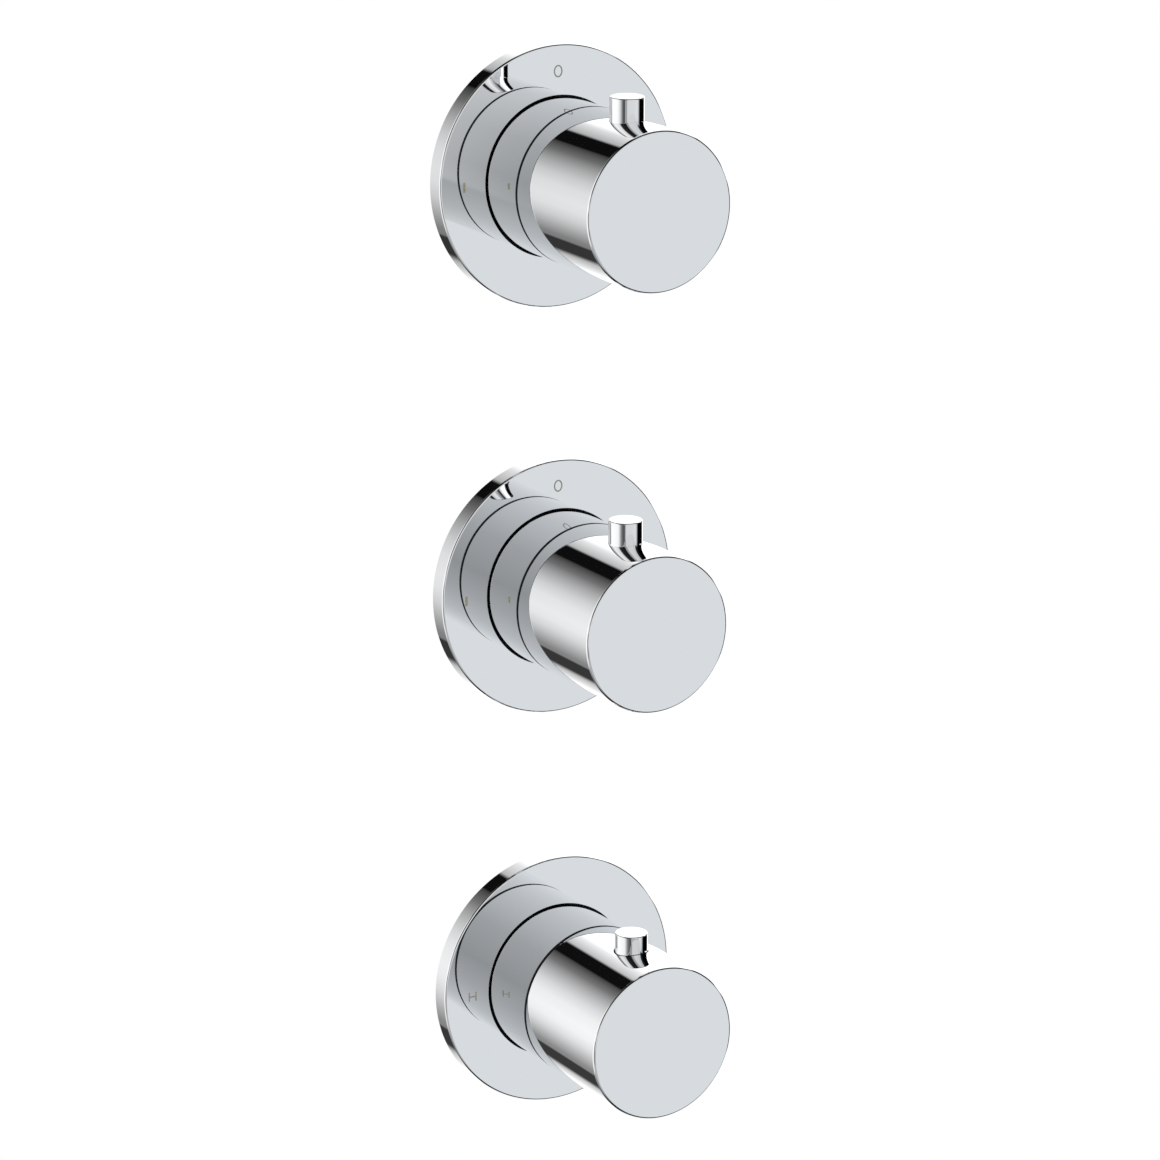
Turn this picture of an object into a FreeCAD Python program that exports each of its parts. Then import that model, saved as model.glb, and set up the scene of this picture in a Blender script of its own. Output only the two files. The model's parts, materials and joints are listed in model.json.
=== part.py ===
"""Concealed thermostatic shower valve: two flow controls above one temperature control, in a row.

Frame: the origin is on the middle control's axis, at the finished wall surface. +Y runs into the
wall, so the trims stand out towards -Y. +X is to the right as a user faces the wall, and +Z is up.
Depths are counted along a control's axis from the wall surface, and are positive in front of it.
Every piece of a control is drawn about the Y axis and then lifted to its control's height.
"""
import FreeCAD, Part
import math
import os

Vector = FreeCAD.Vector
ORIGIN = Vector(0, 0, 0)
RIGHT = Vector(1, 0, 0)
INWARD = Vector(0, 1, 0)
UP = Vector(0, 0, 1)

# ---------------------------------------------------------------- driving sizes, millimetres
# The row of controls
ROW_SPACING = 125.0
CONTROL_HEIGHTS = {"top": ROW_SPACING, "middle": 0.0, "thermo": -ROW_SPACING}
FLOW_CONTROLS = ("top", "middle")
THERMO_REACH = 4.3          # the temperature control stands this much further out

# Fits
TURNED_FIT = 0.1            # radial gap of a thread, a press or a running shaft
GUIDE_FIT = 0.15            # radial gap of a sliding button
FREE_GAP = 0.3              # gap between pieces that pass each other

# Wall plate and its rings
PLATE_RADIUS = 39.1
PLATE_DEPTH = 6.2
PLATE_FACE = 1.6
PLATE_RIM = 1.8
PLATE_COLLAR = 3.4
PLATE_EDGE = 0.4
PLATE_HOLE_GAP = 0.5        # the dark ring round the sleeve
SEAL_WIDTH = 4.5
GRIP_RING_WIDTH = 1.6
GRIP_RING_DEPTH = 2.2       # from the wall surface to the ring's back
GRIP_RING_BITE = 0.4        # how far the ring stands into the plate's hole

# Sleeve and the ring that carries it
SLEEVE_RADIUS = 23.6
SLEEVE_WALL = 1.5
SLEEVE_REACH = 17.3         # in front of the plate's face
SLEEVE_TAIL = 8.0           # behind the wall surface
SLEEVE_EDGE = 0.1
CARRIER_FLANGE = 2.0
CARRIER_LENGTH = 8.0
CARRIER_RING_WIDTH = 2.0
CARRIER_RING_DEPTH = 1.4

# Knob
KNOB_LENGTH = 41.0
KNOB_JOINT = 0.6
KNOB_WALL = 3.6
KNOB_FACE = 4.0
KNOB_EDGE = 0.6
SPIGOT_LENGTH = 2.0
HUB_RADIUS = 11.0
HUB_BORE = 8.0
HUB_SETBACK = 2.0
ADAPTER_LENGTH = 16.0
ADAPTER_CAP = 2.5
ADAPTER_FLAT = 7.4          # from the axis to the flat that the grub screw bears on

# Lever pin of a flow knob
PIN_RADIUS = 5.05
PIN_SETBACK = 18.8          # from the knob's face to the pin's axis
PIN_HEIGHT = 6.8
PIN_EDGE = 0.5
PIN_FLOOR = 17.0            # from the knob's axis
PIN_BOSS_RADIUS = 7.5
STUD_RADIUS = 3.0
STUD_END = 9.5

# Stop button of the temperature knob
BUTTON_RADIUS = 4.95
BUTTON_GAP = 0.3            # the dark ring round the button's foot
BUTTON_HEIGHT = 5.5
BUTTON_STROKE = 2.0
BUTTON_FLOOR = 9.5
BUTTON_SEAT = 16.0
BUTTON_STEM = 2.0
BUTTON_STEM_END = 5.0
CATCH_THICKNESS = 1.3
CATCH_WIDTH = 4.0
CATCH_NOSE_TOP = 18.5
CATCH_NOSE_LENGTH = 1.8
BUTTON_WIRE = 0.35
BUTTON_COIL = 3.8
BUTTON_TURNS = 3.5
STOP_RING_WIDTH = 5.0
STOP_RING_WALL = 1.5
STOP_LUG_START = 14.0       # degrees from the top, on the hot side
STOP_LUG_SPAN = 40.0

# Spring wire, drawn with flat sides
WIRE_SIDES = 6

# Grub screw
GRUB_RADIUS = 2.5
GRUB_LENGTH = 6.0
GRUB_BOSS_RADIUS = 5.0
GRUB_SOCKET = 2.5
GRUB_SETBACK = 8.0          # from the hub's back to the screw's axis

# Spline of the spindles
SPLINE_TEETH = 16
SPLINE_TIP = 5.0
SPLINE_ROOT = 4.3
SPLINE_GRIP = 12.0
SPLINE_TAIL = 5.0
SPLINE_GAP = 0.1

# Cartridge head, the same on all three controls
SPINDLE_RADIUS = 5.0
NECK_RADIUS = 12.0
NECK_FRONT = 2.0
SHOULDER_BACK = 20.0        # behind the wall surface, where the body's bosses end
HEX_THICKNESS = 7.0
FLOW_HEX = 30.0

# Flow cartridge and its ceramic discs, depths behind the wall surface
BOSS_RADIUS = 20.0
THREAD_RADIUS = 15.0
THREAD_BACK = 32.0
THREAD_RUNOUT = 1.0
CHAMBER_RADIUS = 14.0
CHAMBER_BACK = 39.0
HOUSING_RADIUS = 11.0
HOUSING_WALL = 2.4
SEAT_BACK = 45.5
SEAT_HOLE = 5.0
DISC_SEAL = 2.5
DISC_THICKNESS = 3.2
DISC_RADIUS = 8.3
DISC_OPENING = (2.4, 6.6)
DISC_SECTOR = 78.0
DRIVER_THICKNESS = 3.4
DRIVER_WIDTH = 6.0
DRIVER_TONGUE = 1.2
WINDOW_WIDTH = 9.0
CARTRIDGE_RING_WIDTH = 2.0
CARTRIDGE_RING_DEPTH = 1.5

# Thermostatic cartridge, depths behind the wall surface
THERMO_BOSS_RADIUS = 25.0
THERMO_BORE = 17.0
THERMO_THREAD = 20.0
THERMO_FLANGE_FRONT = 23.5
THERMO_FLANGE_BACK = 27.0
THERMO_WALL = 3.7
THERMO_BACK = 77.0
THERMO_NUT_HEX = 38.0
NUT_CHAMBER = 9.0
NUT_CHAMBER_BACK = 36.2
HOT_WINDOW = (36.7, 40.7)
COLD_WINDOW = (49.8, 53.8)
MIXED_WINDOW = (60.0, 69.0)
WINDOW_SPAN = 60.0          # degrees round the housing
WINDOWS_ROUND = 4
HOT_GROOVE = (35.0, 41.5)
COLD_GROOVE = (48.5, 55.0)
MIXED_GROOVE = (59.0, 71.0)
GROOVE_RADIUS = 19.5
RING_PLACES = (30.0, 44.0, 56.0)
THERMO_RING_WIDTH = 2.0
THERMO_RING_DEPTH = 1.5
SHUTTLE = (42.0, 48.4)
SHUTTLE_HUB = 6.3
SHUTTLE_BORE = 10.2
SHUTTLE_ARM = 3.0
THERMO_TRAVEL = 1.5
DRIVE_FLANGE = (24.0, 26.0)
DRIVE_STUD_RADIUS = 3.5
DRIVE_STUD_BACK = 32.0
DRIVE_NUT = (28.0, 36.0)
DRIVE_NUT_WEB = 2.0
NUT_KEY_WIDTH = 2.0
NUT_KEY_HEIGHT = 1.6
WAX_RADIUS = 4.9
WAX_BACK = 63.0
WAX_COLLAR = (48.4, 50.0)
WAX_COLLAR_RADIUS = 6.0
WAX_PISTON = 1.5
CAP_THICKNESS = 4.0
CAP_HOLE = 2.5
RETURN_WIRE = 0.8
RETURN_COIL = 10.6
RETURN_TURNS = 4.5

# Cast body behind the wall
RAIL_BACK = 66.0
RAIL_RADIUS = 13.0
RAIL_BORE = 8.0
BODY_BACK = 85.0
OUTLET_BACK = 36.0
OUTLET_RADIUS = 13.0
OUTLET_REACH = 44.0
PASSAGE_RADIUS = 6.0
PORT_RADIUS = 9.3           # wall radius of a half-inch pipe thread
PORT_LENGTH = 14.0
PORT_HEX = 30.0
PORT_HEX_LENGTH = 12.0
INLET_BACK = 45.25
INLET_REACH = 64.0
INLET_RADIUS = 14.5
INLET_PASSAGE = 3.2
CHECK_POCKET = 8.9
CHECK_LENGTH = 14.0
LUG_HEIGHT = 62.5
LUG_THICKNESS = 6.0
LUG_WIDTH = 18.0
LUG_HOLE_SPACING = 64.0
LUG_HOLE = 3.25
LUG_NECK = 20.0

# Check valves in the inlets
CHECK_WALL = 1.8
CHECK_SEAT = 2.0
CHECK_SEAT_BORE = 5.0
POPPET_RADIUS = 6.2
POPPET_THICKNESS = 2.0
POPPET_TRAVEL = 3.0
STEM_RADIUS = 1.5
GUIDE_RADIUS = 3.0
GUIDE_LENGTH = 4.5
GUIDE_ARM = 2.0
CHECK_WIRE = 0.3
CHECK_COIL = 2.4
CHECK_TURNS = 3.5

# ---------------------------------------------------------------- sizes that follow
KNOB_RADIUS = SLEEVE_RADIUS
KNOB_BORE = KNOB_RADIUS - KNOB_WALL
SLEEVE_BORE = SLEEVE_RADIUS - SLEEVE_WALL
PLATE_HOLE = SLEEVE_RADIUS + PLATE_HOLE_GAP
NECK_BACK = SHOULDER_BACK - HEX_THICKNESS
DISC_STACK_FRONT = SEAT_BACK - DISC_SEAL - 2 * DISC_THICKNESS
CAP_FRONT = THERMO_BACK - CAP_THICKNESS
SHUTTLE_RADIUS = THERMO_BORE - TURNED_FIT - THERMO_WALL - FREE_GAP


def reach(control):
    """How much further out than a flow control this control stands."""
    return 0.0 if control in FLOW_CONTROLS else THERMO_REACH


def sleeve_front(control):
    return PLATE_DEPTH + SLEEVE_REACH + reach(control)


def knob_back(control):
    return sleeve_front(control) + KNOB_JOINT


def knob_front(control):
    return knob_back(control) + KNOB_LENGTH


def hub_back(control):
    return knob_back(control) + HUB_SETBACK


def pin_depth(control):
    return knob_front(control) - PIN_SETBACK


# ---------------------------------------------------------------- shaping helpers
def turned(corners):
    """A solid turned about the Y axis from (radius, depth) corners."""
    points = [Vector(radius, -depth, 0) for radius, depth in corners]
    solid = Part.Face(Part.makePolygon(points + points[:1])).revolve(ORIGIN, INWARD, 360)
    if solid.Volume < 0:
        solid.reverse()
    return solid


def ring(inner, outer, back, front):
    """A plain ring between two depths."""
    return turned([(inner, back), (outer, back), (outer, front), (inner, front)])


def rod(radius, back, front):
    """A plain round bar between two depths."""
    return Part.makeCylinder(radius, front - back, Vector(0, -front, 0), INWARD)


def upright(radius, low, high, depth):
    """A round bar along Z that crosses the control's axis at a depth."""
    return Part.makeCylinder(radius, high - low, Vector(0, -depth, low), UP)


def block(width, back, front, low, high):
    """A box centred on X between two depths and two heights."""
    return Part.makeBox(width, front - back, high - low, Vector(-width / 2, -front, low))


def hexagon(across_flats, back, front):
    """A hexagonal prism about the Y axis."""
    corner = across_flats / math.sqrt(3)
    points = []
    for side in range(7):
        angle = math.radians(60 * side)
        points.append(Vector(corner * math.cos(angle), -front, corner * math.sin(angle)))
    return Part.Face(Part.makePolygon(points)).extrude(Vector(0, front - back, 0))


def sector(inner, outer, back, front, middle, span):
    """Part of a ring, centred at an angle counted from the top towards +X."""
    whole = Part.makeCylinder(outer, front - back, Vector(0, -front, 0), INWARD, span)
    core = Part.makeCylinder(inner, front - back, Vector(0, -front, 0), INWARD)
    piece = whole.cut(core)
    piece.rotate(ORIGIN, INWARD, middle - span / 2)
    return piece


def spline(tip, root, back, front):
    """A toothed prism about the Y axis."""
    points = []
    pitch = 2 * math.pi / SPLINE_TEETH
    for tooth in range(SPLINE_TEETH):
        for radius, share in ((root, 0.0), (root, 0.25), (tip, 0.42), (tip, 0.83)):
            angle = (tooth + share) * pitch
            points.append(Vector(radius * math.sin(angle), -front, radius * math.cos(angle)))
    return Part.Face(Part.makePolygon(points + points[:1])).extrude(Vector(0, front - back, 0))


def half_arc(start, tangent, end):
    """The arc that leaves start along a tangent and reaches end."""
    chord = end - start
    along = Vector(chord).normalize()
    cosine = tangent.dot(along)
    sine = math.sqrt(1 - cosine * cosine)
    bulge = (tangent - along * cosine) * (1 / sine)
    rise = chord.Length / 2 * sine / (1 + cosine)
    return Part.Arc(start, start + chord * 0.5 + bulge * rise, end).toShape()


def helix_point(radius, climb, angle):
    """A point and the tangent of a helix along Z that climbs by so much a radian."""
    tangent = Vector(-radius * math.sin(angle), radius * math.cos(angle), climb)
    place = Vector(radius * math.cos(angle), radius * math.sin(angle), climb * angle)
    return place, tangent.normalize()


def coil(name, wire, radius, turns, height):
    """A compression spring along Z from zero to a height: one wire on two arcs a half turn."""
    climb = (height - 2 * wire) / (2 * math.pi * turns)
    edges = []
    for half in range(round(2 * turns)):
        start, leaving = helix_point(radius, climb, math.pi * half)
        end, arriving = helix_point(radius, climb, math.pi * (half + 1))
        span = end - start
        spread = 2 * (1 - leaving.dot(arriving))
        lean = span.dot(leaving + arriving)
        handle = (math.sqrt(lean * lean + spread * span.dot(span)) - lean) / spread
        joint = (start + end + (leaving - arriving) * handle) * 0.5
        edges.append(half_arc(start, leaving, joint))
        edges.append(half_arc(end, arriving * -1, joint))
    first, heading = helix_point(radius, climb, 0.0)
    rise = heading.cross(RIGHT)
    corners = []
    for side in range(WIRE_SIDES + 1):
        angle = 2 * math.pi * side / WIRE_SIDES
        corners.append(first + RIGHT * (wire * math.cos(angle)) + rise * (wire * math.sin(angle)))
    path = Part.Wire(Part.__sortEdges__(edges))
    spring = path.makePipeShell([Part.makePolygon(corners)], True, False)
    spring.translate(Vector(0, 0, wire))
    print(f"{name}: least gap between turns {2 * math.pi * climb - 2 * wire:.2f} mm")
    return spring


def cut_all(solid, tools):
    """A solid with every tool cut from it, cleaned of seams."""
    return solid.cut(tools).removeSplitter()


def fuse_all(solid, pieces):
    """A solid joined with its pieces, cleaned of seams."""
    return solid.fuse(pieces).removeSplitter()


# ---------------------------------------------------------------- trim on the wall
def wall_plate():
    """Round plate: a thin face, a rim that meets the wall and a collar round the hole."""
    face_back = PLATE_DEPTH - PLATE_FACE
    groove = PLATE_HOLE + GRIP_RING_WIDTH - GRIP_RING_BITE
    return turned([
        (PLATE_RADIUS, 0),
        (PLATE_RADIUS, PLATE_DEPTH - PLATE_EDGE),
        (PLATE_RADIUS - PLATE_EDGE, PLATE_DEPTH),
        (PLATE_HOLE, PLATE_DEPTH),
        (PLATE_HOLE, GRIP_RING_DEPTH + GRIP_RING_WIDTH),
        (groove, GRIP_RING_DEPTH + GRIP_RING_WIDTH),
        (groove, GRIP_RING_DEPTH),
        (PLATE_HOLE + PLATE_COLLAR, GRIP_RING_DEPTH),
        (PLATE_HOLE + PLATE_COLLAR, face_back),
        (PLATE_RADIUS - PLATE_RIM, face_back),
        (PLATE_RADIUS - PLATE_RIM, 0),
    ])


def plate_seal():
    """Foam ring between the wall and the back of the plate's face."""
    outer = PLATE_RADIUS - PLATE_RIM
    return ring(outer - SEAL_WIDTH, outer, 0, PLATE_DEPTH - PLATE_FACE)


def grip_ring():
    """Rubber ring in the plate's collar, which holds the plate on the sleeve."""
    inner = PLATE_HOLE - GRIP_RING_BITE
    return ring(inner, inner + GRIP_RING_WIDTH, GRIP_RING_DEPTH, GRIP_RING_DEPTH + GRIP_RING_WIDTH)


def sleeve(control):
    """Cover tube over the cartridge."""
    front = sleeve_front(control)
    return turned([
        (SLEEVE_BORE, -SLEEVE_TAIL),
        (SLEEVE_RADIUS, -SLEEVE_TAIL),
        (SLEEVE_RADIUS, front - SLEEVE_EDGE),
        (SLEEVE_RADIUS - SLEEVE_EDGE, front),
        (SLEEVE_BORE, front),
    ])


def sleeve_carrier():
    """Threaded ring on the cartridge's neck that the sleeve pushes over."""
    outer = SLEEVE_BORE - TURNED_FIT
    back = -SLEEVE_TAIL - CARRIER_FLANGE
    groove_back = -SLEEVE_TAIL + (CARRIER_LENGTH - CARRIER_RING_WIDTH) / 2
    groove_front = groove_back + CARRIER_RING_WIDTH
    return turned([
        (NECK_RADIUS + TURNED_FIT, back),
        (SLEEVE_RADIUS, back),
        (SLEEVE_RADIUS, -SLEEVE_TAIL),
        (outer, -SLEEVE_TAIL),
        (outer, groove_back),
        (outer - CARRIER_RING_DEPTH, groove_back),
        (outer - CARRIER_RING_DEPTH, groove_front),
        (outer, groove_front),
        (outer, -SLEEVE_TAIL + CARRIER_LENGTH),
        (NECK_RADIUS + TURNED_FIT, -SLEEVE_TAIL + CARRIER_LENGTH),
    ])


def sleeve_ring():
    """Rubber ring in the carrier's groove."""
    back = -SLEEVE_TAIL + (CARRIER_LENGTH - CARRIER_RING_WIDTH) / 2
    inner = SLEEVE_BORE - TURNED_FIT - CARRIER_RING_DEPTH
    return ring(inner, SLEEVE_BORE, back, back + CARRIER_RING_WIDTH)


# ---------------------------------------------------------------- knob
def knob_blank(control):
    """Turned knob: closed face, thick wall, spigot into the sleeve and a hub for the adapter."""
    back = knob_back(control)
    front = knob_front(control)
    hub = hub_back(control)
    inside = front - KNOB_FACE
    spigot = SLEEVE_BORE - FREE_GAP
    shell = turned([
        (0, front),
        (0, hub + ADAPTER_LENGTH),
        (HUB_BORE, hub + ADAPTER_LENGTH),
        (HUB_BORE, hub),
        (HUB_RADIUS, hub),
        (HUB_RADIUS, inside),
        (KNOB_BORE, inside),
        (KNOB_BORE, back - SPIGOT_LENGTH),
        (spigot, back - SPIGOT_LENGTH),
        (spigot, back),
        (KNOB_RADIUS - SLEEVE_EDGE, back),
        (KNOB_RADIUS, back + SLEEVE_EDGE),
        (KNOB_RADIUS, front - KNOB_EDGE),
        (KNOB_RADIUS - KNOB_EDGE, front),
    ])
    boss_top = KNOB_RADIUS - KNOB_WALL / 2
    boss_foot = HUB_RADIUS - 1
    grub = hub + GRUB_SETBACK
    pin_boss = upright(PIN_BOSS_RADIUS, boss_foot, boss_top, pin_depth(control))
    grub_boss = upright(GRUB_BOSS_RADIUS, -boss_top, -boss_foot, grub)
    grub_bore = upright(GRUB_RADIUS + TURNED_FIT, -KNOB_RADIUS - 1, 0, grub)
    hub_core = rod(HUB_BORE, hub, hub + ADAPTER_LENGTH)
    blank = shell.fuse([pin_boss, grub_boss])
    return blank.cut([grub_bore, hub_core])


def flow_knob(control):
    """Flow knob, bored for its lever pin and the pin's stud."""
    depth = pin_depth(control)
    bore = upright(PIN_RADIUS + TURNED_FIT / 2, PIN_FLOOR, KNOB_RADIUS + 1, depth)
    stud = upright(STUD_RADIUS + TURNED_FIT / 2, STUD_END, PIN_FLOOR, depth)
    return cut_all(knob_blank(control), [bore, stud])


def lever_pin(control):
    """Pin that turns the knob, screwed into it by its stud."""
    depth = pin_depth(control)
    top = KNOB_RADIUS + PIN_HEIGHT
    head = upright(PIN_RADIUS, PIN_FLOOR, top, depth)
    rim = [edge for edge in head.Edges if edge.Closed and abs(edge.BoundBox.ZMin - top) < 0.01]
    head = head.makeFillet(PIN_EDGE, rim)
    return fuse_all(head, [upright(STUD_RADIUS, STUD_END, PIN_FLOOR, depth)])


def thermo_knob(control):
    """Temperature knob, bored for the stop button, its spring, its stem and the catch."""
    depth = pin_depth(control)
    bore = upright(BUTTON_RADIUS + BUTTON_GAP, BUTTON_FLOOR, KNOB_RADIUS + 1, depth)
    stem_low = BUTTON_STEM_END - BUTTON_STROKE - FREE_GAP
    stem = upright(BUTTON_STEM + GUIDE_FIT, stem_low, BUTTON_FLOOR, depth)
    slot_low = BUTTON_SEAT - CATCH_THICKNESS - BUTTON_STROKE - FREE_GAP
    slot_back = depth - PIN_BOSS_RADIUS - 1
    slot = block(CATCH_WIDTH + 2 * FREE_GAP, slot_back, depth, slot_low, BUTTON_SEAT + FREE_GAP)
    return cut_all(knob_blank(control), [bore, stem, slot])


def stop_button(control):
    """Push button in the temperature knob: a round head on a stem."""
    depth = pin_depth(control)
    top = KNOB_RADIUS + BUTTON_HEIGHT
    head = upright(BUTTON_RADIUS, BUTTON_SEAT, top, depth)
    rim = [edge for edge in head.Edges if edge.Closed and abs(edge.BoundBox.ZMin - top) < 0.01]
    head = head.makeFillet(PIN_EDGE, rim)
    return fuse_all(head, [upright(BUTTON_STEM, BUTTON_STEM_END, BUTTON_SEAT, depth)])


def nose_back(control):
    """Depth of the back of the catch's nose, level with the middle of the stop ring."""
    return stop_ring_front(control) - STOP_RING_WIDTH / 2 - CATCH_NOSE_LENGTH / 2


def stop_catch(control):
    """Flat catch under the button's head, with an arm that reaches back to the stop ring."""
    depth = pin_depth(control)
    low = BUTTON_SEAT - CATCH_THICKNESS
    eye = upright(BUTTON_RADIUS - GUIDE_FIT, low, BUTTON_SEAT, depth)
    arm = block(CATCH_WIDTH, nose_back(control), depth, low, BUTTON_SEAT)
    nose_front = nose_back(control) + CATCH_NOSE_LENGTH
    nose = block(CATCH_WIDTH, nose_back(control), nose_front, low, CATCH_NOSE_TOP)
    hole = upright(BUTTON_STEM + TURNED_FIT / 2, low - 1, BUTTON_SEAT + 1, depth)
    return cut_all(eye.fuse([arm, nose]), [hole])


def button_spring(control):
    """Spring that lifts the button."""
    height = BUTTON_SEAT - CATCH_THICKNESS - BUTTON_FLOOR
    spring = coil("button spring", BUTTON_WIRE, BUTTON_COIL, BUTTON_TURNS, height)
    spring.translate(Vector(0, -pin_depth(control), BUTTON_FLOOR))
    return spring


def stop_ring_front(control):
    return knob_back(control) - SPIGOT_LENGTH - FREE_GAP


def stop_ring(control):
    """Ring inside the sleeve whose lug marks the safe temperature for the catch."""
    front = stop_ring_front(control)
    back = front - STOP_RING_WIDTH
    inner = SLEEVE_BORE - STOP_RING_WALL
    band = ring(inner, SLEEVE_BORE, back, front)
    lug_middle = -(STOP_LUG_START + STOP_LUG_SPAN / 2)
    lug = sector(CATCH_NOSE_TOP + FREE_GAP, inner + 0.5, back, front, lug_middle, STOP_LUG_SPAN)
    return fuse_all(band, [lug])


def spline_adapter(control):
    """Plastic adapter between the splined spindle and the knob's hub."""
    back = hub_back(control)
    front = back + ADAPTER_LENGTH
    outer = rod(HUB_BORE - TURNED_FIT / 2, back, front)
    teeth = spline(SPLINE_TIP + SPLINE_GAP, SPLINE_ROOT + SPLINE_GAP, back, front - ADAPTER_CAP)
    flat = block(2 * HUB_BORE, back, front, -HUB_BORE, -ADAPTER_FLAT)
    return cut_all(outer, [teeth, flat])


def grub_screw(control):
    """Hexagon-socket screw that locks the hub on the adapter."""
    depth = hub_back(control) + GRUB_SETBACK
    low = -ADAPTER_FLAT - GRUB_LENGTH
    shank = upright(GRUB_RADIUS, low, -ADAPTER_FLAT, depth)
    socket = hexagon(GRUB_SOCKET, 0, GRUB_LENGTH / 2)
    socket.rotate(ORIGIN, RIGHT, -90)
    socket.translate(Vector(0, -depth, low - socket.BoundBox.ZMin))
    return shank.cut(socket)


# ---------------------------------------------------------------- flow cartridge
def spindle_front(control):
    """The splined end that the adapter grips, with its plain tail."""
    grip_back = hub_back(control) - SPLINE_TAIL
    return spline(SPLINE_TIP, SPLINE_ROOT, grip_back, hub_back(control) + SPLINE_GRIP)


def flow_cartridge():
    """Brass cartridge: neck, hexagon, thread and the housing of the ceramic discs."""
    cavity = HOUSING_RADIUS - HOUSING_WALL
    roof = DISC_STACK_FRONT - DRIVER_THICKNESS - FREE_GAP
    groove = CARTRIDGE_RING_DEPTH
    ring_front = -CHAMBER_BACK - 1.0
    body = turned([
        (SPINDLE_RADIUS + TURNED_FIT, -roof),
        (cavity, -roof),
        (cavity, -SEAT_BACK),
        (HOUSING_RADIUS, -SEAT_BACK),
        (HOUSING_RADIUS, ring_front - CARTRIDGE_RING_WIDTH),
        (HOUSING_RADIUS - groove, ring_front - CARTRIDGE_RING_WIDTH),
        (HOUSING_RADIUS - groove, ring_front),
        (HOUSING_RADIUS, ring_front),
        (HOUSING_RADIUS, -THREAD_BACK),
        (THREAD_RADIUS, -THREAD_BACK + THREAD_RUNOUT),
        (THREAD_RADIUS, -SHOULDER_BACK),
        (NECK_RADIUS, -SHOULDER_BACK),
        (NECK_RADIUS, NECK_FRONT),
        (SPINDLE_RADIUS + TURNED_FIT, NECK_FRONT),
    ])
    collar = hexagon(FLOW_HEX, -SHOULDER_BACK, -NECK_BACK).cut(
        rod(NECK_RADIUS - 1, -SHOULDER_BACK, -NECK_BACK)
    )
    window = block(2 * HOUSING_RADIUS + 2, -DISC_STACK_FRONT, -roof, -WINDOW_WIDTH / 2, WINDOW_WIDTH / 2)
    core = rod(cavity, -SEAT_BACK, -roof)
    return cut_all(body.fuse([collar]), [window, core])


def cartridge_ring():
    """Rubber ring between the cartridge's housing and the body."""
    inner = HOUSING_RADIUS - CARTRIDGE_RING_DEPTH
    front = -CHAMBER_BACK - 1.0
    return ring(inner, HOUSING_RADIUS + FREE_GAP, front - CARTRIDGE_RING_WIDTH, front)


def disc_seal():
    """Rubber seal between the body's seat and the fixed disc."""
    return ring(SEAT_HOLE + 1.5, DISC_RADIUS, -SEAT_BACK, -SEAT_BACK + DISC_SEAL)


def ceramic_disc(back, middle):
    """Ceramic disc with two opposite sector openings, the first centred at an angle."""
    disc = rod(DISC_RADIUS, back, back + DISC_THICKNESS)
    inner, outer = DISC_OPENING
    openings = []
    for side in (0, 180):
        openings.append(sector(inner, outer, back, back + DISC_THICKNESS, middle + side, DISC_SECTOR))
    return disc.cut(openings)


def fixed_disc():
    """Lower disc: its openings lie at the top and bottom."""
    return ceramic_disc(-SEAT_BACK + DISC_SEAL, 0)


def moving_disc():
    """Upper disc, closed at rest: its openings lie a quarter turn away."""
    disc = ceramic_disc(-SEAT_BACK + DISC_SEAL + DISC_THICKNESS, 90)
    return disc.cut(tongue(TURNED_FIT))


def tongue(clearance):
    """The driver's tongue, or with a clearance the slot that takes it."""
    half = DRIVER_WIDTH / 2 - 1 + clearance
    return block(
        2 * half, -DISC_STACK_FRONT - DRIVER_TONGUE, -DISC_STACK_FRONT, -DISC_RADIUS, DISC_RADIUS
    ).common(rod(DISC_RADIUS, -DISC_STACK_FRONT - DRIVER_TONGUE, -DISC_STACK_FRONT))


def flow_spindle(control):
    """Spindle with its driver bar below and its spline in front."""
    driver_front = -DISC_STACK_FRONT + DRIVER_THICKNESS
    grip_back = hub_back(control) - SPLINE_TAIL
    shaft = rod(SPINDLE_RADIUS, driver_front, grip_back)
    bar = rod(DISC_RADIUS, -DISC_STACK_FRONT, driver_front).common(
        block(DRIVER_WIDTH, -DISC_STACK_FRONT, driver_front, -DISC_RADIUS, DISC_RADIUS)
    )
    return fuse_all(shaft, [bar, tongue(0.0), spindle_front(control)])


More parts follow.
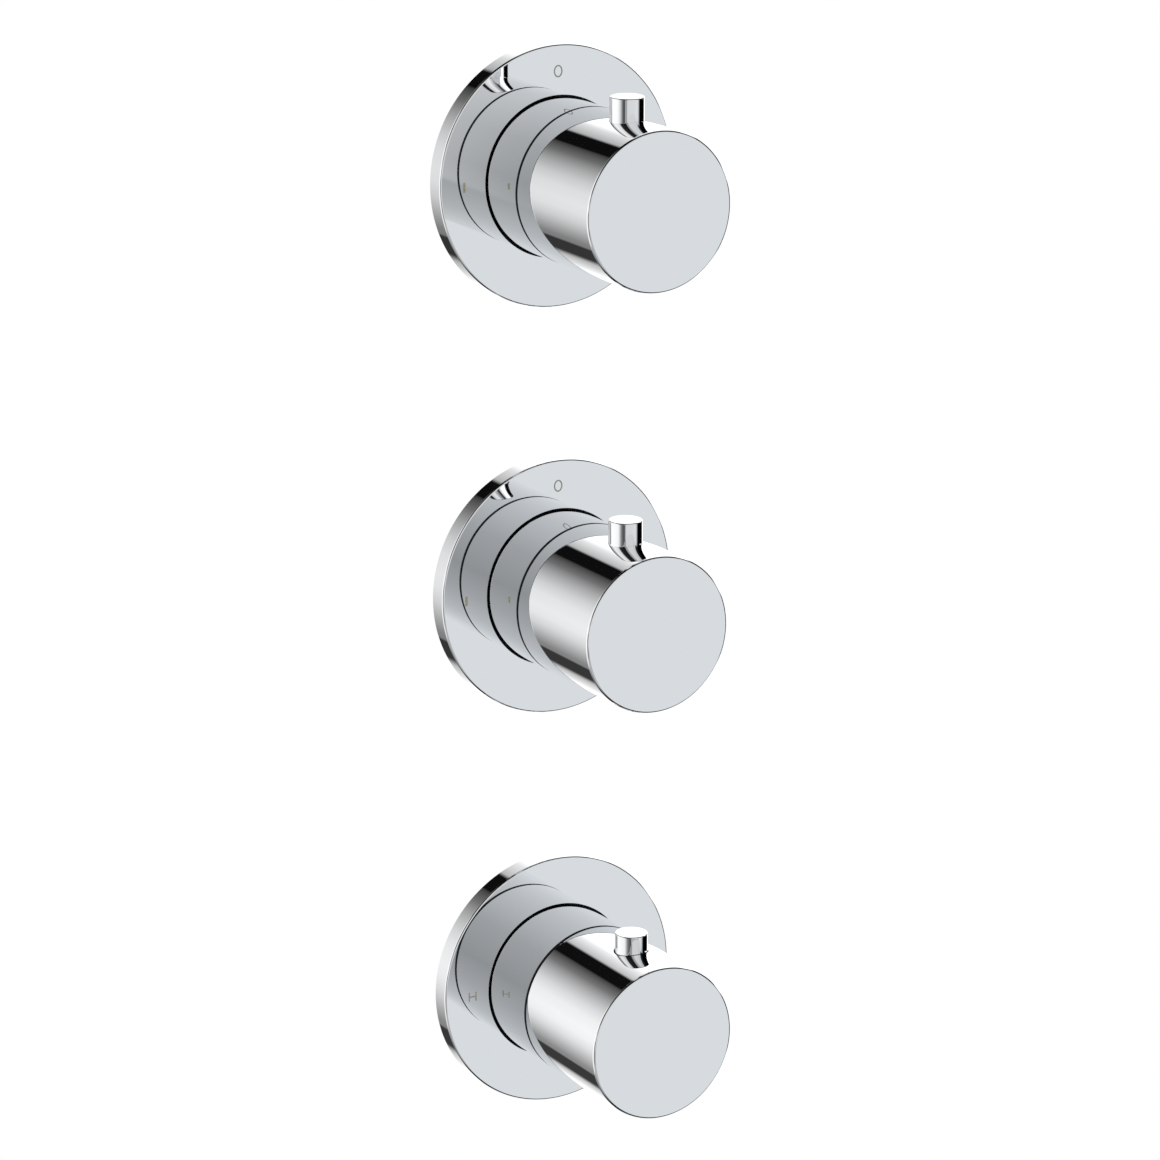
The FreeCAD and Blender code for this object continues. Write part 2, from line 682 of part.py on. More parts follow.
# ---------------------------------------------------------------- thermostatic cartridge
def thermo_cartridge():
    """Brass housing with hot, cold and mixed windows and three ring grooves."""
    outer = THERMO_BORE - TURNED_FIT
    groove = outer - THERMO_RING_DEPTH
    cavity = outer - THERMO_WALL
    corners = [
        (SPINDLE_RADIUS + TURNED_FIT, NECK_FRONT),
        (SPINDLE_RADIUS + TURNED_FIT, -DRIVE_FLANGE[0] + FREE_GAP),
        (NUT_CHAMBER, -DRIVE_FLANGE[0] + FREE_GAP),
        (NUT_CHAMBER, -NUT_CHAMBER_BACK),
        (cavity, -NUT_CHAMBER_BACK),
        (cavity, -THERMO_BACK),
        (outer, -THERMO_BACK),
    ]
    for middle in reversed(RING_PLACES):
        back = -middle - THERMO_RING_WIDTH / 2
        front = -middle + THERMO_RING_WIDTH / 2
        corners += [(outer, back), (groove, back), (groove, front), (outer, front)]
    corners += [
        (outer, -THERMO_FLANGE_BACK),
        (THERMO_THREAD - TURNED_FIT, -THERMO_FLANGE_BACK),
        (THERMO_THREAD - TURNED_FIT, -THERMO_FLANGE_FRONT),
        (NECK_RADIUS, -THERMO_FLANGE_FRONT),
        (NECK_RADIUS, NECK_FRONT),
    ]
    windows = []
    for near, far in (HOT_WINDOW, COLD_WINDOW, MIXED_WINDOW):
        for turn in range(WINDOWS_ROUND):
            middle = 360 / WINDOWS_ROUND * (turn + 0.5)
            windows.append(sector(cavity - 1, outer + 1, -far, -near, middle, WINDOW_SPAN))
    keys = []
    for side in (0, 180):
        key_front = -DRIVE_NUT[0]
        low = NUT_CHAMBER - NUT_KEY_HEIGHT
        key = block(NUT_KEY_WIDTH, -NUT_CHAMBER_BACK, key_front, low, NUT_CHAMBER + 0.5)
        key.rotate(ORIGIN, INWARD, side)
        keys.append(key)
    return cut_all(turned(corners).fuse(keys), windows)


def thermo_nut():
    """Nut that holds the thermostatic cartridge in the body."""
    hole = NECK_RADIUS + FREE_GAP
    head = hexagon(THERMO_NUT_HEX, -SHOULDER_BACK, -NECK_BACK)
    thread = rod(THERMO_THREAD - TURNED_FIT, -THERMO_FLANGE_FRONT, -SHOULDER_BACK)
    return cut_all(head.fuse([thread]), [rod(hole, -THERMO_FLANGE_FRONT, -NECK_BACK)])


def thermo_rings():
    """Three rubber rings that part hot, cold and mixed water."""
    inner = THERMO_BORE - TURNED_FIT - THERMO_RING_DEPTH
    rings = []
    for middle in RING_PLACES:
        half = THERMO_RING_WIDTH / 2
        rings.append(ring(inner, THERMO_BORE, -middle - half, -middle + half))
    return Part.makeCompound(rings)


def thermo_spindle(control):
    """Turning spindle: its stud drives the nut, its spline carries the knob."""
    near, far = DRIVE_FLANGE
    grip_back = hub_back(control) - SPLINE_TAIL
    shaft = turned([
        (0, -DRIVE_STUD_BACK),
        (DRIVE_STUD_RADIUS, -DRIVE_STUD_BACK),
        (DRIVE_STUD_RADIUS, -far),
        (NUT_CHAMBER - FREE_GAP, -far),
        (NUT_CHAMBER - FREE_GAP, -near),
        (SPINDLE_RADIUS, -near),
        (SPINDLE_RADIUS, grip_back),
        (0, grip_back),
    ])
    return fuse_all(shaft, [spindle_front(control)])


def drive_nut():
    """Nut that the spindle moves along the axis, blind where the piston bears on it."""
    near, far = DRIVE_NUT
    body = rod(NUT_CHAMBER - FREE_GAP, -far, -near)
    thread = rod(DRIVE_STUD_RADIUS + TURNED_FIT, -far + DRIVE_NUT_WEB, -near)
    width = NUT_KEY_WIDTH + 2 * FREE_GAP
    floor = NUT_CHAMBER - NUT_KEY_HEIGHT - FREE_GAP
    grooves = [block(width, -far, -near, floor, NUT_CHAMBER)]
    grooves.append(block(width, -far, -near, -NUT_CHAMBER, -floor))
    return cut_all(body, [thread] + grooves)


def wax_element():
    """Wax capsule with its collar, and the piston that presses on the nut."""
    collar_near, collar_far = WAX_COLLAR
    return turned([
        (0, -WAX_BACK),
        (WAX_RADIUS, -WAX_BACK),
        (WAX_RADIUS, -collar_far),
        (WAX_COLLAR_RADIUS, -collar_far),
        (WAX_COLLAR_RADIUS, -collar_near),
        (WAX_RADIUS, -collar_near),
        (WAX_RADIUS, -SHUTTLE[0]),
        (WAX_PISTON, -SHUTTLE[0]),
        (WAX_PISTON, -DRIVE_NUT[1]),
        (0, -DRIVE_NUT[1]),
    ])


def shuttle():
    """Sliding ring that meters hot and cold water, carried on the wax capsule by four arms."""
    near, far = SHUTTLE
    rim = ring(SHUTTLE_BORE, SHUTTLE_RADIUS, -far, -near)
    hub = ring(WAX_RADIUS + TURNED_FIT, SHUTTLE_HUB, -far, -near)
    arms = []
    for quarter in range(2):
        arm = block(SHUTTLE_ARM, -far, -near, -SHUTTLE_BORE - 0.5, SHUTTLE_BORE + 0.5)
        arm.rotate(ORIGIN, INWARD, 90 * quarter)
        arms.append(arm)
    spokes = arms[0].fuse(arms[1]).cut(rod(SHUTTLE_HUB - 0.5, -far, -near))
    return fuse_all(rim, [hub, spokes])


def return_spring():
    """Spring that presses the shuttle and the capsule towards the nut."""
    height = CAP_FRONT - SHUTTLE[1]
    spring = coil("return spring", RETURN_WIRE, RETURN_COIL, RETURN_TURNS, height)
    spring.rotate(ORIGIN, RIGHT, -90)
    spring.translate(Vector(0, SHUTTLE[1], 0))
    return spring


def end_cap():
    """Cap in the cartridge's back, with holes round its middle."""
    cap = rod(THERMO_BORE - TURNED_FIT - THERMO_WALL - TURNED_FIT, -THERMO_BACK, -CAP_FRONT)
    holes = []
    for turn in range(4):
        hole = rod(CAP_HOLE, -THERMO_BACK, -CAP_FRONT)
        hole.translate(Vector(0, 0, RETURN_COIL / 2))
        hole.rotate(ORIGIN, INWARD, 90 * turn)
        holes.append(hole)
    return cap.cut(holes)


# ---------------------------------------------------------------- body behind the wall
def across(radius, start, end, back, height):
    """A round bar along X at a distance behind the wall."""
    return Part.makeCylinder(radius, end - start, Vector(start, back, height), RIGHT)


def side_hexagon(across_flats, start, end, back, height):
    """A hexagonal prism along X at a distance behind the wall."""
    prism = hexagon(across_flats, 0, end - start)
    prism.rotate(ORIGIN, UP, -90)
    prism.translate(Vector(start - prism.BoundBox.XMin, back, height))
    return prism


def valve_body():
    """Casting: a rail that joins three bosses, two inlets, two outlets and the fixing lugs."""
    top = CONTROL_HEIGHTS["top"]
    middle = CONTROL_HEIGHTS["middle"]
    low = CONTROL_HEIGHTS["thermo"]
    outlet_top = top + OUTLET_REACH
    rail = upright(RAIL_RADIUS, low, top + RAIL_RADIUS, -RAIL_BACK)
    solids = []
    cuts = []
    for height in (top, middle):
        boss = rod(BOSS_RADIUS, -RAIL_BACK, -SHOULDER_BACK)
        bore = turned([
            (0, -RAIL_BACK),
            (SEAT_HOLE, -RAIL_BACK),
            (SEAT_HOLE, -SEAT_BACK),
            (HOUSING_RADIUS + FREE_GAP, -SEAT_BACK),
            (HOUSING_RADIUS + FREE_GAP, -CHAMBER_BACK),
            (CHAMBER_RADIUS, -CHAMBER_BACK),
            (CHAMBER_RADIUS, -THREAD_BACK),
            (THREAD_RADIUS + TURNED_FIT, -THREAD_BACK),
            (THREAD_RADIUS + TURNED_FIT, -SHOULDER_BACK),
            (0, -SHOULDER_BACK),
        ])
        for shape in (boss, bore):
            shape.translate(Vector(0, 0, height))
        solids.append(boss)
        cuts.append(bore)
    solids.append(upright(OUTLET_RADIUS, top, outlet_top, -OUTLET_BACK))
    solids.append(across(OUTLET_RADIUS, 0, OUTLET_REACH, OUTLET_BACK, middle))
    solids.append(side_hexagon(PORT_HEX, OUTLET_REACH - PORT_HEX_LENGTH, OUTLET_REACH, OUTLET_BACK, middle))
    cap = hexagon(PORT_HEX, 0, PORT_HEX_LENGTH)
    cap.rotate(ORIGIN, RIGHT, 90)
    cap.translate(Vector(0, OUTLET_BACK, outlet_top - cap.BoundBox.ZMax))
    solids.append(cap)
    cuts.append(upright(PORT_RADIUS, outlet_top - PORT_LENGTH, outlet_top, -OUTLET_BACK))
    cuts.append(upright(PASSAGE_RADIUS, top, outlet_top, -OUTLET_BACK))
    cuts.append(across(PORT_RADIUS, OUTLET_REACH - PORT_LENGTH, OUTLET_REACH, OUTLET_BACK, middle))
    cuts.append(across(PASSAGE_RADIUS, 0, OUTLET_REACH, OUTLET_BACK, middle))

    chamber = rod(THERMO_BOSS_RADIUS, -BODY_BACK, -SHOULDER_BACK)
    bores = [rod(THERMO_BORE, -THERMO_BACK - FREE_GAP, -SHOULDER_BACK)]
    bores.append(rod(THERMO_THREAD, -THERMO_FLANGE_BACK, -SHOULDER_BACK))
    for near, far in (HOT_GROOVE, COLD_GROOVE, MIXED_GROOVE):
        bores.append(rod(GROOVE_RADIUS, -far, -near))
    for shape in [chamber] + bores:
        shape.translate(Vector(0, 0, low))
    solids.append(chamber)
    cuts += bores
    solids.append(across(INLET_RADIUS, -INLET_REACH, INLET_REACH, INLET_BACK, low))
    inlet_hex = INLET_REACH - PORT_HEX_LENGTH
    solids.append(side_hexagon(PORT_HEX, -INLET_REACH, -inlet_hex, INLET_BACK, low))
    solids.append(side_hexagon(PORT_HEX, inlet_hex, INLET_REACH, INLET_BACK, low))
    pocket = INLET_REACH - PORT_LENGTH - CHECK_LENGTH
    thread = INLET_REACH - PORT_LENGTH
    hot_middle = sum(HOT_GROOVE) / 2
    cold_middle = sum(COLD_GROOVE) / 2
    cuts.append(across(PORT_RADIUS, -INLET_REACH, -thread, INLET_BACK, low))
    cuts.append(across(PORT_RADIUS, thread, INLET_REACH, INLET_BACK, low))
    cuts.append(across(CHECK_POCKET, -thread, -pocket, INLET_BACK, low))
    cuts.append(across(CHECK_POCKET, pocket, thread, INLET_BACK, low))
    cuts.append(across(INLET_PASSAGE, -pocket, -THERMO_BORE, hot_middle, low))
    cuts.append(across(INLET_PASSAGE, THERMO_BORE, pocket, cold_middle, low))

    half = LUG_HOLE_SPACING / 2
    for height in (LUG_HEIGHT, -LUG_HEIGHT):
        bar = Part.makeBox(
            LUG_HOLE_SPACING, LUG_THICKNESS, LUG_WIDTH,
            Vector(-half, BODY_BACK - LUG_THICKNESS, height - LUG_WIDTH / 2),
        )
        neck = Part.makeBox(
            LUG_NECK, BODY_BACK - RAIL_BACK, LUG_WIDTH,
            Vector(-LUG_NECK / 2, RAIL_BACK, height - LUG_WIDTH / 2),
        )
        solids += [bar, neck]
        for side in (-half, half):
            place = Vector(side, BODY_BACK - LUG_THICKNESS, height)
            solids.append(Part.makeCylinder(LUG_WIDTH / 2, LUG_THICKNESS, place, INWARD))
            cuts.append(Part.makeCylinder(LUG_HOLE, LUG_THICKNESS, place, INWARD))
    cuts.append(upright(RAIL_BORE, low, top, -RAIL_BACK))
    return cut_all(rail.fuse(solids), cuts)


# ---------------------------------------------------------------- check valves
def check_housing():
    """Check valve housing in the cold inlet: seat outside, guide inside."""
    inner = INLET_REACH - PORT_LENGTH - CHECK_LENGTH
    outer = inner + CHECK_LENGTH
    height = CONTROL_HEIGHTS["thermo"]
    bore = CHECK_POCKET - TURNED_FIT - CHECK_WALL

    def bar(radius, start, end):
        return across(radius, start, end, INLET_BACK, height)

    shell = bar(CHECK_POCKET - TURNED_FIT, inner, outer).cut(
        [bar(bore, inner, outer - CHECK_SEAT), bar(CHECK_SEAT_BORE, inner, outer)]
    )
    arm = Part.makeBox(
        GUIDE_ARM, 2 * bore + 1, GUIDE_ARM, Vector(inner, INLET_BACK - bore - 0.5, height - GUIDE_ARM / 2)
    )
    guide = shell.fuse([arm, bar(GUIDE_RADIUS, inner, inner + GUIDE_LENGTH)])
    return cut_all(guide, [bar(STEM_RADIUS + GUIDE_FIT, inner, outer)])


def check_spring(name):
    """Spring between the guide and the poppet."""
    inner = INLET_REACH - PORT_LENGTH - CHECK_LENGTH
    start = inner + GUIDE_LENGTH
    height = CHECK_LENGTH - CHECK_SEAT - POPPET_THICKNESS - GUIDE_LENGTH
    spring = coil(name, CHECK_WIRE, CHECK_COIL, CHECK_TURNS, height)
    spring.rotate(ORIGIN, INWARD, 90)
    spring.translate(Vector(start, INLET_BACK, CONTROL_HEIGHTS["thermo"]))
    return spring


def check_poppet():
    """Poppet of the cold inlet's check valve, closed on its seat."""
    inner = INLET_REACH - PORT_LENGTH - CHECK_LENGTH
    seat = inner + CHECK_LENGTH - CHECK_SEAT
    height = CONTROL_HEIGHTS["thermo"]
    disc = across(POPPET_RADIUS, seat - POPPET_THICKNESS, seat, INLET_BACK, height)
    stem_start = inner + POPPET_TRAVEL + FREE_GAP
    stem = across(STEM_RADIUS, stem_start, seat - POPPET_THICKNESS, INLET_BACK, height)
    return fuse_all(disc, [stem])


def mirrored(shape):
    """The same shape on the hot side."""
    return shape.mirror(ORIGIN, RIGHT)


# ---------------------------------------------------------------- the set of pieces
def trim_pieces(control):
    """Pieces that all three controls share."""
    return {
        "wall_plate": wall_plate(),
        "plate_seal": plate_seal(),
        "grip_ring": grip_ring(),
        "sleeve": sleeve(control),
        "sleeve_carrier": sleeve_carrier(),
        "sleeve_ring": sleeve_ring(),
        "spline_adapter": spline_adapter(control),
        "grub_screw": grub_screw(control),
    }


def flow_pieces(control):
    """Pieces of a flow control beyond the shared ones."""
    return {
        "knob": flow_knob(control),
        "lever_pin": lever_pin(control),
        "cartridge": flow_cartridge(),
        "cartridge_ring": cartridge_ring(),
        "spindle": flow_spindle(control),
        "moving_disc": moving_disc(),
        "fixed_disc": fixed_disc(),
        "disc_seal": disc_seal(),
    }


def thermo_pieces(control):
    """Pieces of the temperature control beyond the shared ones."""
    return {
        "knob": thermo_knob(control),
        "stop_button": stop_button(control),
        "stop_catch": stop_catch(control),
        "button_spring": button_spring(control),
        "stop_ring": stop_ring(control),
        "cartridge": thermo_cartridge(),
        "cartridge_nut": thermo_nut(),
        "cartridge_rings": thermo_rings(),
        "spindle": thermo_spindle(control),
        "drive_nut": drive_nut(),
        "wax_element": wax_element(),
        "shuttle": shuttle(),
        "return_spring": return_spring(),
        "end_cap": end_cap(),
    }


def all_pieces():
    """Every node's name and shape in the row's frame."""
    pieces = {"valve_body": valve_body()}
    pieces["check_housings"] = Part.makeCompound([check_housing(), mirrored(check_housing())])
    pieces["cold_check_poppet"] = check_poppet()
    pieces["hot_check_poppet"] = mirrored(check_poppet())
    pieces["cold_check_spring"] = check_spring("cold check spring")
    pieces["hot_check_spring"] = mirrored(check_spring("hot check spring"))
    for control, height in CONTROL_HEIGHTS.items():
        group = trim_pieces(control)
        group.update(flow_pieces(control) if control in FLOW_CONTROLS else thermo_pieces(control))
        for name, shape in group.items():
            shape.translate(Vector(0, 0, height))
            pieces[f"{control}_{name}"] = shape
    return pieces


os.makedirs("parts", exist_ok=True)
for node, solid_shape in all_pieces().items():
    solid_shape.exportStep(f"parts/{node}.step")
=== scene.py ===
"""Looks of the concealed thermostatic shower valve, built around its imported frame."""

import json
import logging
import math
from collections.abc import Callable, Iterable, Sequence
from dataclasses import dataclass, field
from enum import Enum

import bmesh
import bpy
from mathutils import Matrix, Vector

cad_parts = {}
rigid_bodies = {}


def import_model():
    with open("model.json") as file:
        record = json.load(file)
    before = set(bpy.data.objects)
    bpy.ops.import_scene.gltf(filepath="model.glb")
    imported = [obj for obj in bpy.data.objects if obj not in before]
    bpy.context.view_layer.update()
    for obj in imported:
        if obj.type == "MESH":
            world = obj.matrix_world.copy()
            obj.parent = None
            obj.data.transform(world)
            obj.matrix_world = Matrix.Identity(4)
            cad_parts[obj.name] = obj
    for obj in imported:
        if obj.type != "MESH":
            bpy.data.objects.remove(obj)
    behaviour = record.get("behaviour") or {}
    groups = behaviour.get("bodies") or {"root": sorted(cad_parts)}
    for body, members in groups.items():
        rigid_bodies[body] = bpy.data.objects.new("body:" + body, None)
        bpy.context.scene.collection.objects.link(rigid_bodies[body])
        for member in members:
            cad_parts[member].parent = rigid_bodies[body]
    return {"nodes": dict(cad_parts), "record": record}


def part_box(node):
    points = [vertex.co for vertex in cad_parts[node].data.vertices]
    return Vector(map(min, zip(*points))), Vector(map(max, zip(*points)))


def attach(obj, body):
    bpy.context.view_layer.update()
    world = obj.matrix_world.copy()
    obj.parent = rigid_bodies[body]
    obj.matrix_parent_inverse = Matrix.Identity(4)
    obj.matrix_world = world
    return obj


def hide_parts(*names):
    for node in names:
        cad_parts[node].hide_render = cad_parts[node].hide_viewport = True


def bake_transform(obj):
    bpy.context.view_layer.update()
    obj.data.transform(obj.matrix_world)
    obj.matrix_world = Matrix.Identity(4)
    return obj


LOG = logging.getLogger("shower_valve")
MM = 0.001
WHITE = (1.0, 1.0, 1.0, 1.0)
# Nearly all of a noise texture's values lie in this span.
NOISE_SPAN = (0.3, 0.7)
# How fast a wave texture's phase grows with the distance that it is given.
WAVE_PHASE = 20.0
Colour = tuple[float, float, float, float]
Corners = Sequence[tuple[float, ...]]
Mesh = bpy.types.Mesh
Shades = tuple[tuple[float, str | None], ...]
Socket = bpy.types.NodeSocket
Span = tuple[float, float]
Stops = Sequence[tuple[float, Colour]]
Tree = bpy.types.NodeTree


# ---------------------------------------------------------------- colour and nodes
def linear(shade: str) -> Colour:
    """Turns an sRGB hex colour into linear light.

    Args:
        shade: The colour as "#RRGGBB".

    Returns:
        Red, green, blue and alpha.
    """
    parts = [int(shade[place:place + 2], 16) / 255 for place in (1, 3, 5)]
    light = [p / 12.92 if p <= 0.04045 else ((p + 0.055) / 1.055) ** 2.4 for p in parts]
    return light[0], light[1], light[2], 1.0


def add(
    tree: Tree,
    kind: str,
    inputs: dict[object, object] | None = None,
    stops: Stops = (),
    **settings: object,
) -> bpy.types.Node:
    """Adds a node with its settings, values and links.

    Args:
        tree: The tree that gets the node.
        kind: The node's type name.
        inputs: For each socket name or number, a value or an output that feeds it.
        stops: For a colour ramp, its places and colours.
        settings: The node's own properties.

    Returns:
        The new node.
    """
    node = tree.nodes.new(kind)
    for name, value in settings.items():
        setattr(node, name, value)
    for key, value in (inputs or {}).items():
        socket = node.inputs[key]
        if isinstance(value, Socket):
            tree.links.new(value, socket)
        else:
            socket.default_value = value
    for number, (place, colour) in enumerate(stops):
        elements = node.color_ramp.elements
        element = elements[number] if number < len(elements) else elements.new(place)
        element.position = place
        element.color = colour
    return node


@dataclass(frozen=True)
class Level:
    """A number that a tree works out, so that a sum made of nodes reads as a sum."""

    tree: Tree
    source: Socket | float

    def by(self, operation: str, *others: "Level | float") -> "Level":
        """Puts this number through an operation.

        Args:
            operation: The operation's name.
            others: The numbers that it takes after this one.

        Returns:
            What comes out.
        """
        row = [other.source if isinstance(other, Level) else other for other in (self, *others)]
        node = add(self.tree, "ShaderNodeMath", dict(enumerate(row)), operation=operation)
        return Level(self.tree, node.outputs[0])

    def __add__(self, other: "Level | float") -> "Level":
        """Returns the sum."""
        return self.by("ADD", other)

    def __sub__(self, other: "Level | float") -> "Level":
        """Returns the difference."""
        return self.by("SUBTRACT", other)

    def __rsub__(self, other: float) -> "Level":
        """Returns a plain number less this one."""
        return Level(self.tree, other).by("SUBTRACT", self)

    def __mul__(self, other: "Level | float") -> "Level":
        """Returns the product."""
        return self.by("MULTIPLY", other)

    def __or__(self, other: "Level | float") -> "Level":
        """Returns the greater of the two."""
        return self.by("MAXIMUM", other)

    def __and__(self, other: "Level | float") -> "Level":
        """Returns the lesser of the two."""
        return self.by("MINIMUM", other)

    def ramp(self, span: Span, levels: Span = (0.0, 1.0), way: str = "LINEAR") -> "Level":
        """Goes from one level to another while this number crosses a span.

        Args:
            span: Where this number sets out and where it arrives.
            levels: The two levels.
            way: How it goes, LINEAR or SMOOTHSTEP.

        Returns:
            The level.
        """
        limits = {"Value": self.source, 1: span[0], 2: span[1], 3: levels[0], 4: levels[1]}
        node = add(self.tree, "ShaderNodeMapRange", limits, interpolation_type=way)
        return Level(self.tree, node.outputs[0])

    def fade(self, span: Span) -> "Level":
        """Rises smoothly from 0 to 1 while this number crosses a span."""
        return self.ramp(span, way="SMOOTHSTEP")


# ---------------------------------------------------------------- finishes
class Slot(Enum):
    """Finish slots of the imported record."""

    CHROME = "chrome_plated_brass"
    TURNED = "turned_brass"
    CAST = "cast_brass"
    RUBBER = "epdm_rubber"
    FOAM = "pe_foam"
    PLASTIC = "pom_plastic"
    CERAMIC = "alumina_ceramic"
    STEEL = "stainless_steel"
    COPPER = "copper"


@dataclass(frozen=True)
class Cloud:
    """A value that drifts over a surface: a cloud's size in mm, its levels and how many finer layers."""

    size: float
    low: float = 0.0
    high: float = 1.0
    detail: float = 2.0

    def over(self, tree: Tree, place: Socket) -> Level:
        """Lets the value follow some coordinates.

        Args:
            tree: The tree that works it out.
            place: The coordinates, in metres.

        Returns:
            The value.
        """
        values = {"Vector": place, "Scale": 1 / (self.size * MM), "Detail": self.detail}
        noise = Level(tree, add(tree, "ShaderNodeTexNoise", values).outputs["Fac"])
        return noise.ramp(NOISE_SPAN, (self.low, self.high))


@dataclass(frozen=True)
class Finish:
    """One surface: a Principled shader whose colour, roughness and relief come from nodes.

    The patches choose among the shades, where None is the main shade. Polish is the roughness, and grain is
    the relief, whose depth is in mm.
    """

    name: str
    shade: str
    metallic: float = 0.0
    roughness: float = 0.5
    ior: float | None = None
    patches: Cloud | None = None
    shades: Shades = ()
    polish: Cloud | None = None
    grain: Cloud | None = None
    depth: float = 0.0
    strength: float = 1.0

    def material(self) -> bpy.types.Material:
        """Builds the material, once.

        Returns:
            The material.
        """
        found = bpy.data.materials.get(self.name)
        if found:
            return found
        made = bpy.data.materials.new(self.name)
        made.use_nodes = True
        made.diffuse_color = linear(self.shade)
        made.metallic = self.metallic
        made.roughness = self.roughness
        tree = made.node_tree
        shader = tree.nodes["Principled BSDF"]
        values = {"Base Color": linear(self.shade), "Metallic": self.metallic, "Roughness": self.roughness}
        if self.ior is not None:
            values["IOR"] = self.ior
        for name, value in (values | self.extras()).items():
            shader.inputs[name].default_value = value
        feeds: dict[str, Socket] = {}
        place = add(tree, "ShaderNodeTexCoord").outputs["Object"]
        tint = self.tint(tree, place)
        if tint:
            stops = [(at, linear(shade or self.shade)) for at, shade in self.shades]
            ramp = add(tree, "ShaderNodeValToRGB", {"Fac": tint.source}, stops)
            feeds["Base Color"] = ramp.outputs["Color"]
        if self.polish:
            feeds["Roughness"] = self.polish.over(tree, place).source
        height = self.height(tree, place)
        if height:
            bump = {"Height": height.source, "Distance": self.depth * MM, "Strength": self.strength}
            feeds["Normal"] = add(tree, "ShaderNodeBump", bump).outputs["Normal"]
        for name, source in feeds.items():
            tree.links.new(source, shader.inputs[name])
        return made

    def extras(self) -> dict[str, float]:
        """Returns the shader's further values."""
        return {}

    def tint(self, tree: Tree, place: Socket) -> Level | None:
        """Works out where the surface is darker and lighter."""
        return self.patches.over(tree, place) if self.patches else None

    def height(self, tree: Tree, place: Socket) -> Level | None:
        """Works out the relief."""
        return self.grain.over(tree, place) if self.grain else None


@dataclass(frozen=True)
class MirrorChrome(Finish):
    """Bright chrome plate over polished brass: a near-perfect, slightly cool mirror.

    The eye sees only the studio in it, with a trace of haze that drifts over a few centimetres.
    """

    name: str = "mirror chrome plate"
    shade: str = "#F2F3F4"
    metallic: float = 1.0
    roughness: float = 0.02
    polish: Cloud | None = Cloud(22.0, 0.012, 0.026)


@dataclass(frozen=True)
class TurnedBrass(Finish):
    """Yellow brass off the lathe: warm, slightly tarnished metal with feed marks round its axis.

    The marks are 0.9 mm apart, coarser than the real 0.1 mm, so that they show.
    """

    name: str = "turned brass"
    shade: str = "#E6C888"
    metallic: float = 1.0
    roughness: float = 0.24
    patches: Cloud | None = Cloud(9.0)
    shades: Shades = ((0.0, "#D9B873"), (1.0, None))
    polish: Cloud | None = Cloud(6.0, 0.18, 0.32)
    depth: float = 0.01
    strength: float = 0.35
    feed: float = 0.9
    wobble: float = 0.4
    centre: Vector = field(default_factory=lambda: Vector((0.0, 0.0, 0.0)))

    def height(self, tree: Tree, place: Socket) -> Level:
        """Draws the feed marks.

        Args:
            tree: The material's node tree.
            place: The object coordinates, in metres.

        Returns:
            The relief.
        """
        moved = add(tree, "ShaderNodeMapping", {"Vector": place, "Location": -self.centre}).outputs[0]
        scale = math.tau / (WAVE_PHASE * self.feed * MM)
        values = {"Vector": moved, "Scale": scale, "Distortion": self.wobble}
        settings = {"wave_type": "RINGS", "rings_direction": "SPHERICAL"}
        return Level(tree, add(tree, "ShaderNodeTexWave", values, **settings).outputs["Fac"])


@dataclass(frozen=True)
class CastBrass(Finish):
    """Sand-cast brass, shot-blasted: matt pale gold with a trace of oxide and a skin of 0.7 mm grains.

    A faint parting line, 0.8 mm wide, runs along the middle.
    """

    name: str = "shot-blasted cast brass"
    shade: str = "#E0C48A"
    metallic: float = 1.0
    roughness: float = 0.45
    patches: Cloud | None = Cloud(24.0, detail=3.0)
    shades: Shades = ((0.0, "#D4B578"), (0.6, None), (1.0, "#E8CF9A"))
    polish: Cloud | None = Cloud(6.0, 0.38, 0.5, 3.0)
    grain: Cloud | None = Cloud(0.7, 0.0, 0.35, 3.0)
    depth: float = 0.12
    strength: float = 0.7
    parting_edge: Span = (0.2 * MM, 0.6 * MM)

    def height(self, tree: Tree, place: Socket) -> Level:
        """Lays the parting line over the grains."""
        across = Level(tree, add(tree, "ShaderNodeSeparateXYZ", {0: place}).outputs["X"])
        line = across.by("ABSOLUTE").ramp(self.parting_edge, (1.0, 0.0))
        return self.grain.over(tree, place) | line


@dataclass(frozen=True)
class MouldedRubber(Finish):
    """Black EPDM seal rubber: deep grey, soft highlight, bloom in patches and a 0.2 mm mould grain."""

    name: str = "moulded EPDM rubber"
    shade: str = "#1F2022"
    roughness: float = 0.55
    ior: float | None = 1.52
    patches: Cloud | None = Cloud(5.0, detail=3.0)
    shades: Shades = ((0.0, "#18191B"), (1.0, "#2A2B2D"))
    grain: Cloud | None = Cloud(0.2)
    depth: float = 0.02
    strength: float = 0.4


@dataclass(frozen=True)
class CellFoam(Finish):
    """Closed-cell polyethylene foam: off-white and dull, with round cells of 0.6 mm and thin walls."""

    name: str = "closed-cell PE foam"
    shade: str = "#E2E2DE"
    roughness: float = 0.85
    ior: float | None = 1.5
    shades: Shades = ((0.0, "#CFCFCB"), (0.45, None), (1.0, "#EEEEEA"))
    depth: float = 0.12
    strength: float = 0.7
    cell: float = 0.6

    def tint(self, tree: Tree, place: Socket) -> Level:
        """Measures how far each place is from its cell's middle."""
        values = {"Vector": place, "Scale": 1 / (self.cell * MM)}
        return Level(tree, add(tree, "ShaderNodeTexVoronoi", values).outputs["Distance"])

    def height(self, tree: Tree, place: Socket) -> Level:
        """Raises the walls between the cells."""
        return self.tint(tree, place)


